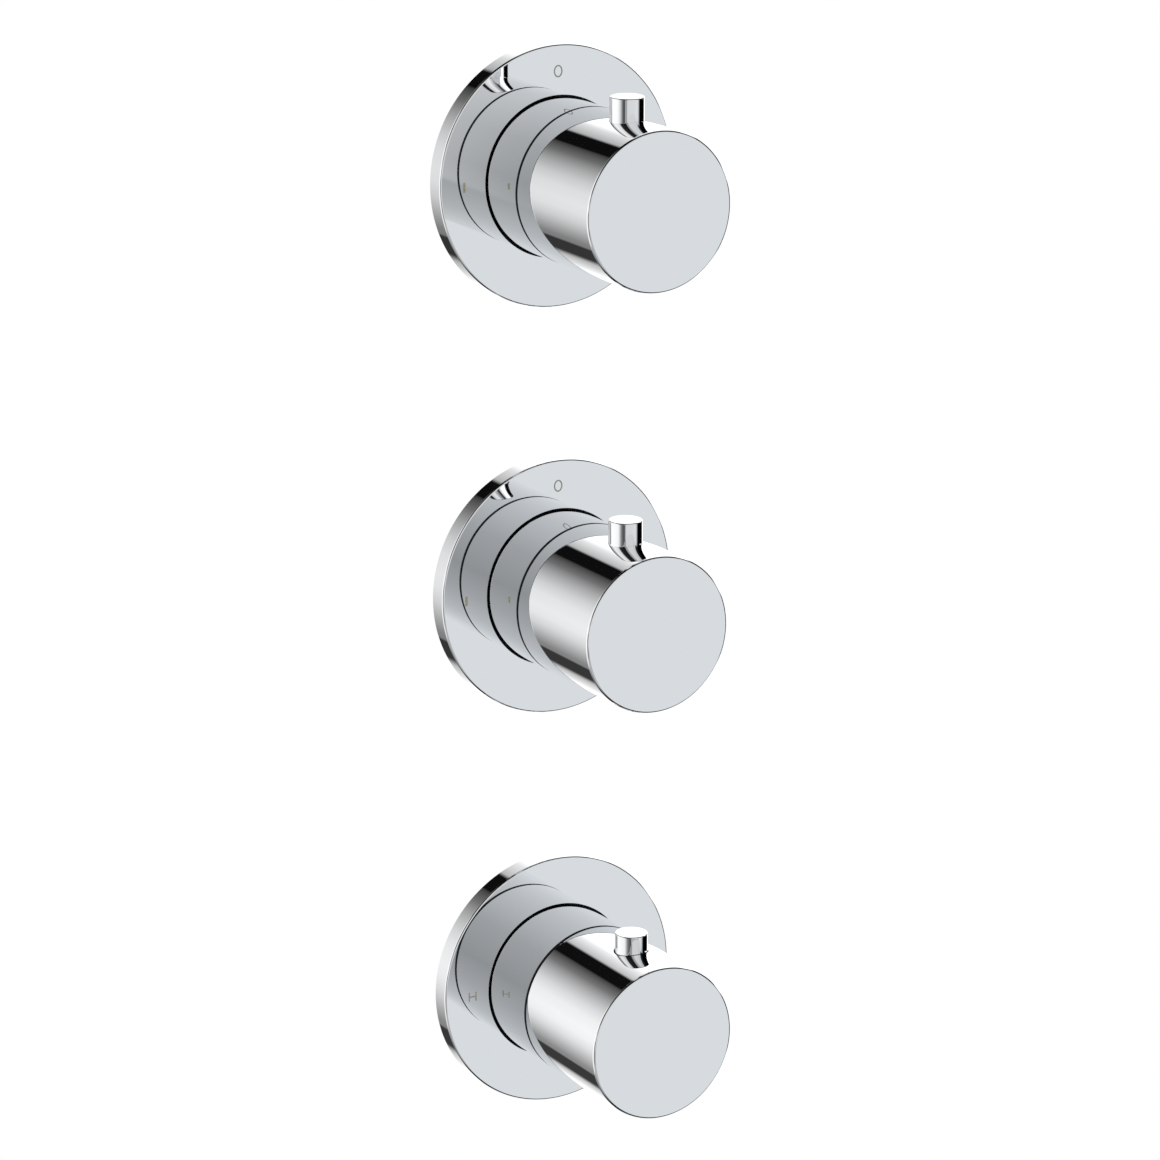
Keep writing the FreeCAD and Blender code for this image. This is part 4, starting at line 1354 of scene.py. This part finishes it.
@dataclass(frozen=True)
class Port:
    """A threaded end: its axis's root, direction and reach, its bar's radius and its bore's depth, in mm."""

    name: str
    root: tuple[float, float, float]
    axis: Axis
    reach: float
    radius: float
    pocket: float

    def turned(self, corners: Corners, segments: int) -> Turned:
        """Returns a solid turned about the port's axis, measured from its root towards its end.

        Args:
            corners: Its outline.
            segments: How many sides it has.

        Returns:
            The solid.
        """
        way = math.copysign(1.0, self.reach)
        rows = [(radius, along * way, *edge) for radius, along, *edge in corners]
        return Turned.of(rows, Vector(self.root) * MM, self.axis, segments)


@dataclass
class ValveBody:
    """The brass casting: a rail, three bosses, four ports and two pairs of lugs. Sizes in mm.

    A name with "past" says how far a cutter reaches beyond what it cuts. Creases are in degrees.
    """

    rail_depth: float = 66.0
    rail_radius: float = 13.0
    rail_round: float = 5.0
    boss_front: float = 20.0
    boss_radius: float = 20.0
    thermo_radius: float = 25.0
    boss_rim: float = 1.5
    back: float = 85.0
    outlet_depth: float = 36.0
    outlet_radius: float = 13.0
    outlet_reach: float = 44.0
    inlet_depth: float = 45.25
    inlet_radius: float = 14.5
    inlet_reach: float = 64.0
    hexagon: float = 30.0
    collar: float = 12.0
    collar_chamfer: float = 1.6
    chamfer_slope: float = 0.6
    thread_wall: float = 9.3
    thread_length: float = 14.0
    thread_pitch: float = 1.814
    thread_crest: float = 0.85
    thread_runout: float = 2.5
    thread_start: float = 0.6
    thread_steps: int = 48
    thread_sides: int = 3
    countersink: Span = (1.1, 1.0)
    bore_past: Span = (1.0, 0.1)
    barrel_past: Span = (0.3, 0.01)
    pocket_radius: float = 9.0
    pocket_depth: float = 28.5
    lug_height: float = 62.5
    lug_thickness: float = 6.0
    lug_width: float = 18.0
    lug_spacing: float = 64.0
    lug_hole: float = 3.25
    lug_neck: float = 20.0
    lug_seat: float = 7.0
    mouth_length: float = 4.0
    mouth_inset: float = 0.5
    mouth_edges: Span = (0.5, 0.8)
    mouth_overlap: float = 1.2
    bar_overlap: float = 2.0
    cutter_past: float = 4.0
    hole_past: float = 6.0
    grain: float = 1.15
    fillet_factor: float = 0.5
    fillet_passes: int = 9
    skin_gap: float = 0.6
    casting_crease: float = 40.0
    hexagon_crease: float = 25.0
    segments: int = 96
    mouth_segments: int = 128

    def __post_init__(self) -> None:
        """Reads the controls' places from the frame and lists the bosses, the ports and the lug pairs."""
        self.bosses = []
        for control in Control:
            height = measure(f"{control.value}_wall_plate").height
            radius = self.thermo_radius if control is Control.THERMO else self.boss_radius
            bore = measure(f"{control.value}_cartridge").radius + self.skin_gap
            self.bosses.append(Boss(control, height, radius, bore))
        self.top, self.middle, self.low = (boss.height for boss in self.bosses)
        outlet = (self.outlet_reach, self.outlet_radius, self.thread_length)
        inlet = (self.inlet_radius, self.pocket_depth)
        cold_root = (0.0, self.inlet_depth, self.low)
        self.ports = [
            Port("top_outlet", (0.0, self.outlet_depth, self.top), Axis.UP, *outlet),
            Port("middle_outlet", (0.0, self.outlet_depth, self.middle), Axis.ACROSS, *outlet),
            Port("hot_inlet", cold_root, Axis.ACROSS, -self.inlet_reach, *inlet),
            Port("cold_inlet", cold_root, Axis.ACROSS, self.inlet_reach, *inlet),
        ]
        self.lug_heights = (self.lug_height, -self.lug_height)

    def rod(self, radius: float, start: float, end: float, height: float) -> Turned:
        """Returns a rod along the wall's depth, from one distance behind the wall to another."""
        return Turned.of(bar(radius, -start, -end), Vector((0.0, 0.0, height * MM)), segments=self.segments)

    @staticmethod
    def joined(name: str, meshes: Iterable[Mesh]) -> Mesh:
        """Puts several meshes into one.

        Args:
            name: The new mesh's name.
            meshes: What goes into it.

        Returns:
            The new mesh.
        """
        work = bmesh.new()
        for mesh in meshes:
            work.from_mesh(mesh)
        return written(name, work)

    def lug_rods(self, radius: float, start: float, end: float, height: float) -> list[Mesh]:
        """Builds a rod at each end of a lug bar.

        Args:
            radius: The rods' radius.
            start: Where they begin behind the wall.
            end: Where they end.
            height: The height of the bar.

        Returns:
            Their meshes.
        """
        rods = []
        for side in (-1, 1):
            mesh = self.rod(radius, start, end, height).mesh("lug rod")
            mesh.transform(Matrix.Translation((side * self.lug_spacing / 2 * MM, 0.0, 0.0)))
            rods.append(mesh)
        return rods

    def lugs(self) -> list[Mesh]:
        """Builds the two lug bars with round ends, and the necks that carry them.

        Returns:
            Their meshes.
        """
        parts = []
        front = self.back - self.lug_thickness
        slabs = [
            (self.lug_spacing, self.lug_thickness, (front + self.back) / 2),
            (self.lug_neck, self.back - self.rail_depth, (self.rail_depth + self.back) / 2),
        ]
        for height in self.lug_heights:
            work = bmesh.new()
            for width, depth, middle in slabs:
                block(work, Vector((0.0, middle, height)) * MM, (width, depth, self.lug_width))
            parts.append(written("lug", work))
            parts += self.lug_rods(self.lug_width / 2, front, self.back, height)
        return parts

    def skin(self) -> bpy.types.Object:
        """Blends the casting's bars and bosses into one filleted skin.

        Returns:
            The skin, with its modifiers still at work.
        """
        top = self.top + self.rail_radius
        radius = self.rail_radius
        corners = [(0, self.low), (radius, self.low), (radius, top, self.rail_round), (0, top)]
        solids = [Turned.of(corners, Vector((0.0, self.rail_depth * MM, 0.0)), Axis.UP, self.segments)]
        for boss in self.bosses:
            end = self.back if boss.control is Control.THERMO else self.rail_depth
            solids.append(self.rod(boss.radius, self.boss_front + self.mouth_overlap, end, boss.height))
        for port in self.ports:
            end = abs(port.reach) - self.collar + self.bar_overlap
            solids.append(port.turned(bar(port.radius, 0, end), self.segments))
        bars = [solid.mesh("bar") for solid in solids]
        work = show("casting", self.joined("casting", bars + self.lugs()))
        remesh = work.modifiers.new("skin", "REMESH")
        remesh.mode = "VOXEL"
        remesh.voxel_size = self.grain * MM
        fillets = work.modifiers.new("fillets", "SMOOTH")
        fillets.factor = self.fillet_factor
        fillets.iterations = self.fillet_passes
        return work

    def cutters(self) -> Mesh:
        """Builds the bores of the bosses, ports and lugs as separate solids.

        Returns:
            All of them in one mesh.
        """
        solids = []
        for boss in self.bosses:
            end = -measure(f"{boss.control.value}_cartridge").back + self.skin_gap
            hole = self.rod(boss.bore, self.boss_front - self.cutter_past, end, boss.height)
            solids.append(hole.mesh("bore"))
        for port in self.ports:
            end = abs(port.reach)
            corners = bar(self.pocket_radius, end - port.pocket, end + self.cutter_past)
            solids.append(port.turned(corners, self.segments).mesh("bore"))
        start = self.back - self.lug_thickness - self.hole_past
        for height in self.lug_heights:
            solids += self.lug_rods(self.lug_hole, start, self.back + self.cutter_past, height)
        return self.joined("bores", solids)

    def is_machined(self, point: Vector) -> bool:
        """Tells the bores and the lugs' seats from the cast skin.

        Args:
            point: The middle of a face, in metres.

        Returns:
            Whether that face is machined.
        """
        across, depth, up = point / MM
        seats = [math.hypot(abs(across) - self.lug_spacing / 2, up - height) for height in self.lug_heights]
        if min(seats) < self.lug_seat:
            return True
        if depth >= self.rail_depth - self.cutter_past:
            return False
        return any(math.hypot(across, up - boss.height) < boss.radius - self.boss_rim for boss in self.bosses)

    def build_casting(self) -> None:
        """Blends, bores and dresses the casting."""
        work = self.skin()
        bored = worked_in(work, [combine(work, self.cutters(), "DIFFERENCE")])
        mesh = softened("casting", bored, self.casting_crease)
        piece("valve_body.casting", mesh, CastBrass(), "root", ["valve_body"], False)
        coat(mesh, TurnedBrass(name="turned brass, bores"), self.is_machined)

    def build_mouths(self) -> None:
        """Turns the crisp faces where the nuts of the cartridges seat."""
        front = -self.boss_front
        back = front - self.mouth_length
        for boss in self.bosses:
            name = boss.control.value
            outer = boss.radius - self.mouth_inset
            inner_edge, outer_edge = self.mouth_edges
            corners = [
                (boss.bore, front, inner_edge), (outer, front, outer_edge), (outer, back), (boss.bore, back),
            ]
            middle = Vector((0.0, 0.0, boss.height * MM))
            shape = Turned.of(corners, middle, segments=self.mouth_segments)
            centre = Vector((0.0, self.boss_front, boss.height)) * MM
            finish = TurnedBrass(name=f"turned brass, {name} boss", centre=centre)
            mesh = shape.mesh("mouth")
            piece(f"valve_body.{name}_mouth", mesh, finish, "root", mirrored=False)

    def build_port(self, port: Port, thread: Tree) -> None:
        """Mills a port's hexagon, bores it and cuts its thread.

        Args:
            port: The port.
            thread: The nodes that build a thread.
        """
        end = abs(port.reach)
        start = end - self.collar
        corner = self.hexagon / 2 / math.cos(math.pi / 6)
        trim = corner - self.collar_chamfer
        slope = self.collar_chamfer * self.chamfer_slope
        nut = port.turned(bar(corner, start, end), 6)
        aside, past = self.barrel_past
        foot, wide, top = start - past, corner + aside, end + past
        barrel = port.turned([
            (0, foot), (trim, foot), (wide, start + slope), (wide, end - slope), (trim, top), (0, top),
        ], self.segments)
        flare, sink = self.countersink
        foot, wall, top = start - self.bore_past[0], self.thread_wall, end + self.bore_past[1]
        bore = port.turned([
            (0, foot), (wall, foot), (wall, end - sink), (wall + flare, top), (0, top),
        ], self.segments)
        milled = carved(nut, [("INTERSECT", barrel), ("DIFFERENCE", bore)])
        finish = TurnedBrass(name=f"turned brass, {port.name}", centre=Vector(port.root) * MM)
        mesh = softened("hexagon", milled, self.hexagon_crease)
        piece(f"valve_body.{port.name}", mesh, finish, "root", mirrored=False)
        mesh = self.thread(port, thread)
        piece(f"valve_body.{port.name}_thread", mesh, finish, "root", mirrored=False)

    def thread(self, port: Port, nodes: Tree) -> Mesh:
        """Winds a port's thread and lays it in its bore.

        Args:
            port: The port.
            nodes: The nodes that build a thread.

        Returns:
            The ridge's mesh.
        """
        work = show("thread", bpy.data.meshes.new("thread"))
        winding = work.modifiers.new("thread", "NODES")
        winding.node_group = nodes
        sizes = {
            "Radius": self.thread_wall * MM,
            "Pitch": self.thread_pitch * MM,
            "Length": (self.thread_length - self.thread_runout) * MM,
            "Crest": self.thread_crest * MM,
        }
        for socket in nodes.interface.items_tree:
            if socket.in_out == "INPUT":
                winding[socket.identifier] = sizes[socket.name]
        ridge = worked_in(work)
        foot = abs(port.reach) - self.thread_length + self.thread_start
        tilt = 0.0 if port.axis is Axis.UP else math.copysign(math.pi / 2, port.reach)
        turn = Matrix.Rotation(tilt, 4, "Y")
        lift = Matrix.Translation((0.0, 0.0, foot * MM))
        ridge.transform(Matrix.Translation(Vector(port.root) * MM) @ turn @ lift)
        return ridge

    def thread_tree(self) -> Tree:
        """Builds the nodes of a pipe thread: a sharp ridge that winds round the bore.

        Returns:
            Their tree.
        """
        tree = bpy.data.node_groups.new("pipe thread", "GeometryNodeTree")
        for name in ("Radius", "Pitch", "Length", "Crest"):
            tree.interface.new_socket(name, in_out="INPUT", socket_type="NodeSocketFloat")
        tree.interface.new_socket("Geometry", in_out="OUTPUT", socket_type="NodeSocketGeometry")
        sizes = add(tree, "NodeGroupInput").outputs
        winding = {
            "Resolution": self.thread_steps,
            "Rotations": Level(tree, sizes["Length"]).by("DIVIDE", Level(tree, sizes["Pitch"])).source,
            "Start Radius": sizes["Radius"],
            "End Radius": sizes["Radius"],
            "Height": sizes["Length"],
        }
        spiral = add(tree, "GeometryNodeCurveSpiral", winding).outputs[0]
        upright = add(tree, "GeometryNodeSetCurveNormal", {"Curve": spiral}, mode="Z_UP").outputs[0]
        outline = {"Resolution": self.thread_sides, "Radius": sizes["Crest"]}
        ridge = add(tree, "GeometryNodeCurvePrimitiveCircle", outline).outputs[0]
        shape = {"Curve": upright, "Profile Curve": ridge, "Fill Caps": True}
        mesh = add(tree, "GeometryNodeCurveToMesh", shape).outputs[0]
        real = add(tree, "GeometryNodeRealizeInstances", {0: mesh}).outputs[0]
        dress = {"Geometry": real, "Material": TurnedBrass(name="turned brass, threads").material()}
        add(tree, "NodeGroupOutput", {0: add(tree, "GeometryNodeSetMaterial", dress).outputs[0]})
        return tree

    def build(self) -> None:
        """Builds the body with its machined ends."""
        self.build_casting()
        self.build_mouths()
        thread = self.thread_tree()
        for port in self.ports:
            self.build_port(port, thread)


@dataclass
class Mechanism:
    """The pieces inside the knobs and behind the wall, dressed as what they are made of.

    Creases are in degrees, and sizes in mm. The chrome mirrors no piece that reaches further than
    hidden_depth behind the wall's face.
    """

    crease: float = 32.0
    wire_crease: float = 75.0
    weld: float = 0.002
    ring_edge: float = 0.3
    ring_squeeze: float = 0.02
    hidden_depth: float = 1.0
    slots: dict[str, Slot] = field(default_factory=dict)
    bodies: dict[str, str | Spring] = field(default_factory=dict)

    def __post_init__(self) -> None:
        """Reads each node's finish slot and body, and each spring's seats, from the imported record."""
        record = FRAME["record"]
        for part in record["subparts"]:
            self.slots[part["node"]] = Slot(part["material_slot"])
        for body, nodes in record["behaviour"]["bodies"].items():
            self.bodies.update({node: body for node in nodes})
        for joint in record["behaviour"]["joints"]:
            for row in joint.get("deforming_nodes", []):
                letter = row["mode"][-1]
                fixed = row[f"fixed_end_{letter}_m"]
                ends = [getattr(corner, letter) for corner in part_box(row["node"])]
                moving = max(ends, key=lambda place: abs(place - fixed))
                way = Vector([float(letter == name) for name in "xyz"])
                self.bodies[row["node"]] = Spring(joint["parent"], joint["child"], way * fixed, way * moving)

    def finish_for(self, node: str) -> Finish:
        """Chooses a node's finish.

        Args:
            node: The node's name.

        Returns:
            The finish, centred on the node's own axis where it is turned.
        """
        kind = FINISH_OF_SLOT[self.slots[node]]
        if kind is not TurnedBrass:
            return kind()
        low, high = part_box(node)
        return TurnedBrass(name=f"turned brass, {node}", centre=(low + high) / 2)

    def build_grip_ring(self, control: Control) -> None:
        """Moulds the ring that grips a sleeve in its plate's hole, snug all round.

        Args:
            control: The control that it belongs to.
        """
        name = f"{control.value}_grip_ring"
        ring = measure(name)
        inner = measure(f"{control.value}_sleeve").radius - self.ring_squeeze
        spots = [(inner, ring.back), (ring.radius, ring.back), (ring.radius, ring.front), (inner, ring.front)]
        shape = Turned.of([(*spot, self.ring_edge) for spot in spots], ring.centre)
        piece(f"{name}.rubber", shape.mesh(name), MouldedRubber(), "root", [name])

    def build(self) -> None:
        """Smooths and dresses every CAD node that still shows, a spring's coil among them."""
        for control in Control:
            self.build_grip_ring(control)
        for node in [node for node, shown in FRAME["nodes"].items() if not shown.hide_render]:
            body = self.bodies[node]
            sprung = isinstance(body, Spring)
            source = bpy.data.objects[node].data
            mesh = softened(node, source, self.wire_crease if sprung else self.crease, self.weld * MM)
            name = f"{node}.coil" if sprung else f"{node}.finish"
            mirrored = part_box(node)[1].y <= self.hidden_depth * MM
            piece(name, mesh, self.finish_for(node), body, [node], mirrored)


# ---------------------------------------------------------------- studio
@dataclass(frozen=True)
class Camera:
    """The photograph's camera, worked out from the plates' and knobs' rims.

    Its place and lens are in mm, its angles in radians, and near and far in metres.
    """

    place: tuple[float, float, float] = (-730.5, -1295.9, 425.0)
    yaw: float = 0.519883
    pitch: float = 0.277967
    roll: float = 0.0012
    lens: float = 159.68
    sensor: float = 36.0
    near: float = 0.05
    far: float = 20.0

    def build(self) -> None:
        """Sets the camera up."""
        level = Vector((math.sin(self.yaw), math.cos(self.yaw), 0.0)) * math.cos(self.pitch)
        look = level - Vector((0.0, 0.0, math.sin(self.pitch)))
        right = Vector((math.cos(self.yaw), -math.sin(self.yaw), 0.0))
        up = right.cross(look)
        turned_right = right * math.cos(self.roll) + up * math.sin(self.roll)
        turned_up = up * math.cos(self.roll) - right * math.sin(self.roll)
        data = bpy.data.cameras.new("photo camera")
        data.lens = self.lens
        data.sensor_width = self.sensor
        data.sensor_height = self.sensor
        data.clip_start = self.near
        data.clip_end = self.far
        camera = bpy.data.objects.new("photo camera", data)
        axes = Matrix((turned_right, turned_up, -look)).transposed().to_4x4()
        camera.matrix_world = Matrix.Translation(Vector(self.place) * MM) @ axes
        bpy.context.scene.collection.objects.link(camera)
        bpy.context.scene.camera = camera


@dataclass(frozen=True)
class Way:
    """A direction of length 1 by its parts: to the right, towards the wall, upwards, and up or down."""

    x: Level
    y: Level
    z: Level
    lift: Level


@dataclass(frozen=True)
class Studio:
    """Soft cards and black flags round the object, and the plain white that the camera sees.

    Each level is what the card would render as in a perfect mirror, in linear light. Directions have length
    1, with x to the right, y towards the wall and z up. Most spans say where a card, a flag or a gap fades
    in along one of these, or along z without its sign for the strips, the gap's break and the steep ones.
    The gap's edge and fall are angles round the upright axis, in radians. A bend holds how far from bend_z
    it goes on and how much it turns the gap. The floor's and the wall's sizes are in metres.
    """

    key: float = 1.25
    black: float = 0.004
    gain: float = 1.25
    cool: tuple[float, float, float] = (0.965, 1.0, 1.03)
    wall_side_y: Span = (-0.62, -0.25)
    middle_y: Span = (0.80, 0.86)
    middle_levels: Span = (1.28, 0.98)
    flag_x: Span = (0.12, 0.30)
    flag_front_y: Span = (-0.46, -0.72)
    flag_back_y: Span = (0.36, 0.56)
    strips_y: Span = (-0.20, -0.06)
    strip_top: Span = (0.50, 0.44)
    strip_foot: Span = (0.02, 0.10)
    camera_box_y: Span = (-0.85, -0.88)
    camera_box_x: Span = (0.42, 0.30)
    camera_box_z: Span = (-0.34, -0.27)
    camera_box_levels: Span = (0.45, 0.75)
    left_box_x: Span = (-0.60, -0.75)
    left_box_y: Span = (-0.20, 0.75)
    left_box_level: float = 1.15
    bend_z: float = -0.265
    bend_high: Span = (0.075, 2.17)
    bend_low: Span = (-0.1, 0.69)
    gap_edge: Span = (0.565, 0.61)
    gap_fall: Span = (1.43, 0.54)
    gap_foot_z: Span = (-0.50, -0.44)
    gap_top_z: Span = (0.75, 0.60)
    gap_break: Span = (0.04, 0.11)
    ring_front_y: Span = (-0.79, -0.72)
    ring_back_y: Span = (-0.08, -0.20)
    ring_low_z: Span = (-0.55, -0.61)
    ring_low_x: Span = (-0.25, -0.05)
    ring_high_z: Span = (0.20, 0.28)
    steep_front_y: Span = (-0.32, -0.20)
    steep_back_y: Span = (0.42, 0.30)
    steep_lift: Span = (0.60, 0.68)
    steep_share: float = 0.6
    darkest: float = 0.97
    floor_z: float = -0.32
    floor_reach: float = 2.5
    wall_reach: float = 1.2
    wall_top: float = 1.1
    floor_shades: Shades = ((0.3, "#F3F3F2"), (0.7, "#F5F5F4"))
    floor_scale: float = 60.0
    floor_roughness: float = 0.8

    def cards(self, levels: Sequence[Span], tint: tuple[float, float, float] = (1.0, 1.0, 1.0)) -> Stops:
        """Turns a row of cards into a colour ramp.

        Args:
            levels: Each card's angle in degrees, and its level.
            tint: The cards' colour.

        Returns:
            The ramp's stops.
        """
        light = Vector(tint)
        return [(angle / 360, (*(light * (level / self.gain)), 1.0)) for angle, level in levels]

    def back_cards(self) -> Stops:
        """Lists the cards on the wall's side, by degrees round the depth axis from the right, upwards.

        Returns:
            A colour ramp's stops.
        """
        return self.cards([
            (0, self.key), (56, self.key), (68, 0.78), (85, 0.47), (88, self.black), (107, self.black),
            (109, 0.05), (122, 0.16), (138, 0.41), (154, 0.645), (168, 0.785), (186, 0.84), (198, 0.81),
            (211, 0.67), (228, 0.40), (240, 0.24), (246.5, 0.21), (248.5, 0.036), (268, 0.036),
            (276, 0.50), (292, 0.80), (312, self.key), (360, self.key),
        ])

    def front_cards(self) -> Stops:
        """Lists the cards on the camera's side, by the same angle: cool and bright low on the right.

        Returns:
            A colour ramp's stops.
        """
        return self.cards([
            (0, 0.79), (60, 0.62), (90, 0.54), (125, 0.43), (182, 0.35), (222, 0.445), (262, 0.58),
            (300, 0.79), (360, 0.79),
        ], self.cool)

    def flag(self, way: Way) -> Level:
        """Works out a black flag beside the object, on the right, edge on to the wall.

        Towards the wall it is only two strips, so that a view from the side finds light between them.

        Args:
            way: The direction.

        Returns:
            How much light it leaves.
        """
        strips = way.lift.fade(self.strip_top) * way.lift.fade(self.strip_foot)
        past = way.y.fade(self.flag_front_y) | way.y.fade(self.flag_back_y)
        past = past | way.y.fade(self.strips_y) * (1.0 - strips)
        return 1.0 - way.x.fade(self.flag_x) * (1.0 - past)

    def gap(self, way: Way) -> Level:
        """Works out the dark gap between the left softboxes, which leans, and which the pins mirror.

        Args:
            way: The direction.

        Returns:
            How dark it is.
        """
        over = way.z - self.bend_z
        turn = (way.x * -1.0).by("ARCTAN2", way.y * -1.0)
        turn = turn - ((over | 0.0) & self.bend_high[0]) * self.bend_high[1]
        turn = turn - ((over & 0.0) | self.bend_low[0]) * self.bend_low[1]
        ends = way.z.fade(self.gap_foot_z) * way.z.fade(self.gap_top_z) * way.lift.fade(self.gap_break)
        return turn.fade(self.gap_edge) * turn.ramp(self.gap_fall) * ends

    def ring(self, way: Way) -> Level:
        """Works out the darkness above and below, which draws the edges.

        Args:
            way: The direction.

        Returns:
            How dark it is.
        """
        sides = way.y.fade(self.ring_front_y) * way.y.fade(self.ring_back_y)
        ends = way.z.fade(self.ring_low_z) * way.x.fade(self.ring_low_x) | way.z.fade(self.ring_high_z)
        steep_sides = way.y.fade(self.steep_front_y) * way.y.fade(self.steep_back_y)
        steep = steep_sides * way.lift.fade(self.steep_lift) * self.steep_share
        return sides * ends | steep

    def build_world(self) -> None:
        """Builds the world's tree: light by direction for the object, plain white for the camera."""
        world = bpy.data.worlds.new("studio")
        bpy.context.scene.world = world
        world.use_nodes = True
        tree = world.node_tree
        tree.nodes.clear()
        seen = add(tree, "ShaderNodeTexCoord").outputs["Generated"]
        x, y, z = (Level(tree, part) for part in add(tree, "ShaderNodeSeparateXYZ", {0: seen}).outputs)
        way = Way(x, y, z, z.by("ABSOLUTE"))
        angle = (z.by("ARCTAN2", x) * (1 / math.tau)).by("FRACT").source
        back = add(tree, "ShaderNodeValToRGB", {"Fac": angle}, self.back_cards()).outputs["Color"]
        front = add(tree, "ShaderNodeValToRGB", {"Fac": angle}, self.front_cards()).outputs["Color"]
        # The wall's side is a little brighter away from its middle, so the lower controls are brighter.
        spread = y.ramp(self.middle_y, self.middle_levels)
        low, high = (level / self.gain for level in self.camera_box_levels)
        camera_box = y.fade(self.camera_box_y) * x.fade(self.camera_box_x)
        box_level = z.ramp(self.camera_box_z, (low, high), "SMOOTHSTEP")
        left_box = x.fade(self.left_box_x) * y.fade(self.left_box_y)
        bright = self.cards([(0, self.left_box_level)])[0][1]
        left = self.flag(way) * (1.0 - (self.gap(way) | self.ring(way)) * self.darkest)
        light = back
        # First the wall's side and the camera's, then the softbox round the camera, which is dimmer low
        # down, then a bright one on the left, towards the wall, and at last the flags and gaps.
        for blend, share, other in (
            ("MULTIPLY", 1.0, spread.source),
            ("MIX", (1.0 - y.fade(self.wall_side_y)).source, front),
            ("MIX", camera_box.source, box_level.source),
            ("MIX", left_box.source, bright),
            ("MULTIPLY", 1.0, left.source),
        ):
            # A colour mix has its factor and its two colours in the sockets 0, 6 and 7, and gives output 2.
            sockets = {0: share, 6: light, 7: other}
            light = add(tree, "ShaderNodeMix", sockets, data_type="RGBA", blend_type=blend).outputs[2]
        studio = add(tree, "ShaderNodeBackground", {"Color": light, "Strength": self.gain}).outputs[0]
        plain = add(tree, "ShaderNodeBackground", {"Color": WHITE, "Strength": 1.0}).outputs[0]
        rays = add(tree, "ShaderNodeLightPath").outputs
        direct = 1.0 - Level(tree, rays["Is Glossy Ray"])
        choice = add(tree, "ShaderNodeMixShader", {0: direct.source, 1: studio, 2: plain}).outputs[0]
        add(tree, "ShaderNodeOutputWorld", {"Surface": choice})

    def sheet(self, name: str, look: str, corners: Corners) -> Tree:
        """Makes a flat stage sheet with a material of its own.

        Args:
            name: The sheet's name.
            look: Its material's name.
            corners: Its four corners.

        Returns:
            The material's node tree.
        """
        mesh = bpy.data.meshes.new(name)
        mesh.from_pydata([Vector(corner) for corner in corners], [], [(0, 1, 2, 3)])
        made = show(name, mesh)
        made.visible_glossy = False
        material = bpy.data.materials.new(look)
        material.use_nodes = True
        mesh.materials.append(material)
        return material.node_tree

    def build_wall(self) -> None:
        """Builds the wall: white where the camera faces it, clear from behind, so that the body shows."""
        side, low, high = self.wall_reach, self.floor_z, self.wall_top
        corners = [(-side, 0, low), (side, 0, low), (side, 0, high), (-side, 0, high)]
        tree = self.sheet("wall", "white wall", corners)
        tree.nodes.clear()
        white = add(tree, "ShaderNodeEmission", {"Color": WHITE, "Strength": 1.0}).outputs[0]
        clear = add(tree, "ShaderNodeBsdfTransparent").outputs[0]
        camera_ray = Level(tree, add(tree, "ShaderNodeLightPath").outputs["Is Camera Ray"])
        behind = Level(tree, add(tree, "ShaderNodeNewGeometry").outputs["Backfacing"])
        shown = (1.0 - behind) * camera_ray
        choice = add(tree, "ShaderNodeMixShader", {0: shown.source, 1: clear, 2: white}).outputs[0]
        add(tree, "ShaderNodeOutputMaterial", {"Surface": choice})

    def build_floor(self) -> None:
        """Builds the pale floor, which keeps the object's soft shadow."""
        reach = self.floor_reach
        signs = ((-1, -1), (1, -1), (1, 1), (-1, 1))
        corners = [(across * reach, away * reach, self.floor_z) for across, away in signs]
        tree = self.sheet("floor", "pale floor", corners)
        shader = tree.nodes["Principled BSDF"]
        place = add(tree, "ShaderNodeTexCoord").outputs["Object"]
        noise = add(tree, "ShaderNodeTexNoise", {"Vector": place, "Scale": self.floor_scale}).outputs["Fac"]
        stops = [(at, linear(shade)) for at, shade in self.floor_shades]
        ramp = add(tree, "ShaderNodeValToRGB", {"Fac": noise}, stops)
        tree.links.new(ramp.outputs["Color"], shader.inputs["Base Color"])
        shader.inputs["Roughness"].default_value = self.floor_roughness

    def build(self) -> None:
        """Builds the world, the wall and the floor."""
        self.build_world()
        self.build_wall()
        self.build_floor()
        settings = bpy.context.scene.view_settings
        settings.view_transform = "Standard"


def main() -> None:
    """Builds every piece in order."""
    logging.basicConfig(level=logging.INFO, format="%(name)s: %(message)s")
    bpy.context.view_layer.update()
    for control in Control:
        Trim(control).build()
    ValveBody().build()
    Mechanism().build()
    Studio().build()
    Camera().build()


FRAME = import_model()

if __name__ == "__main__":
    main()
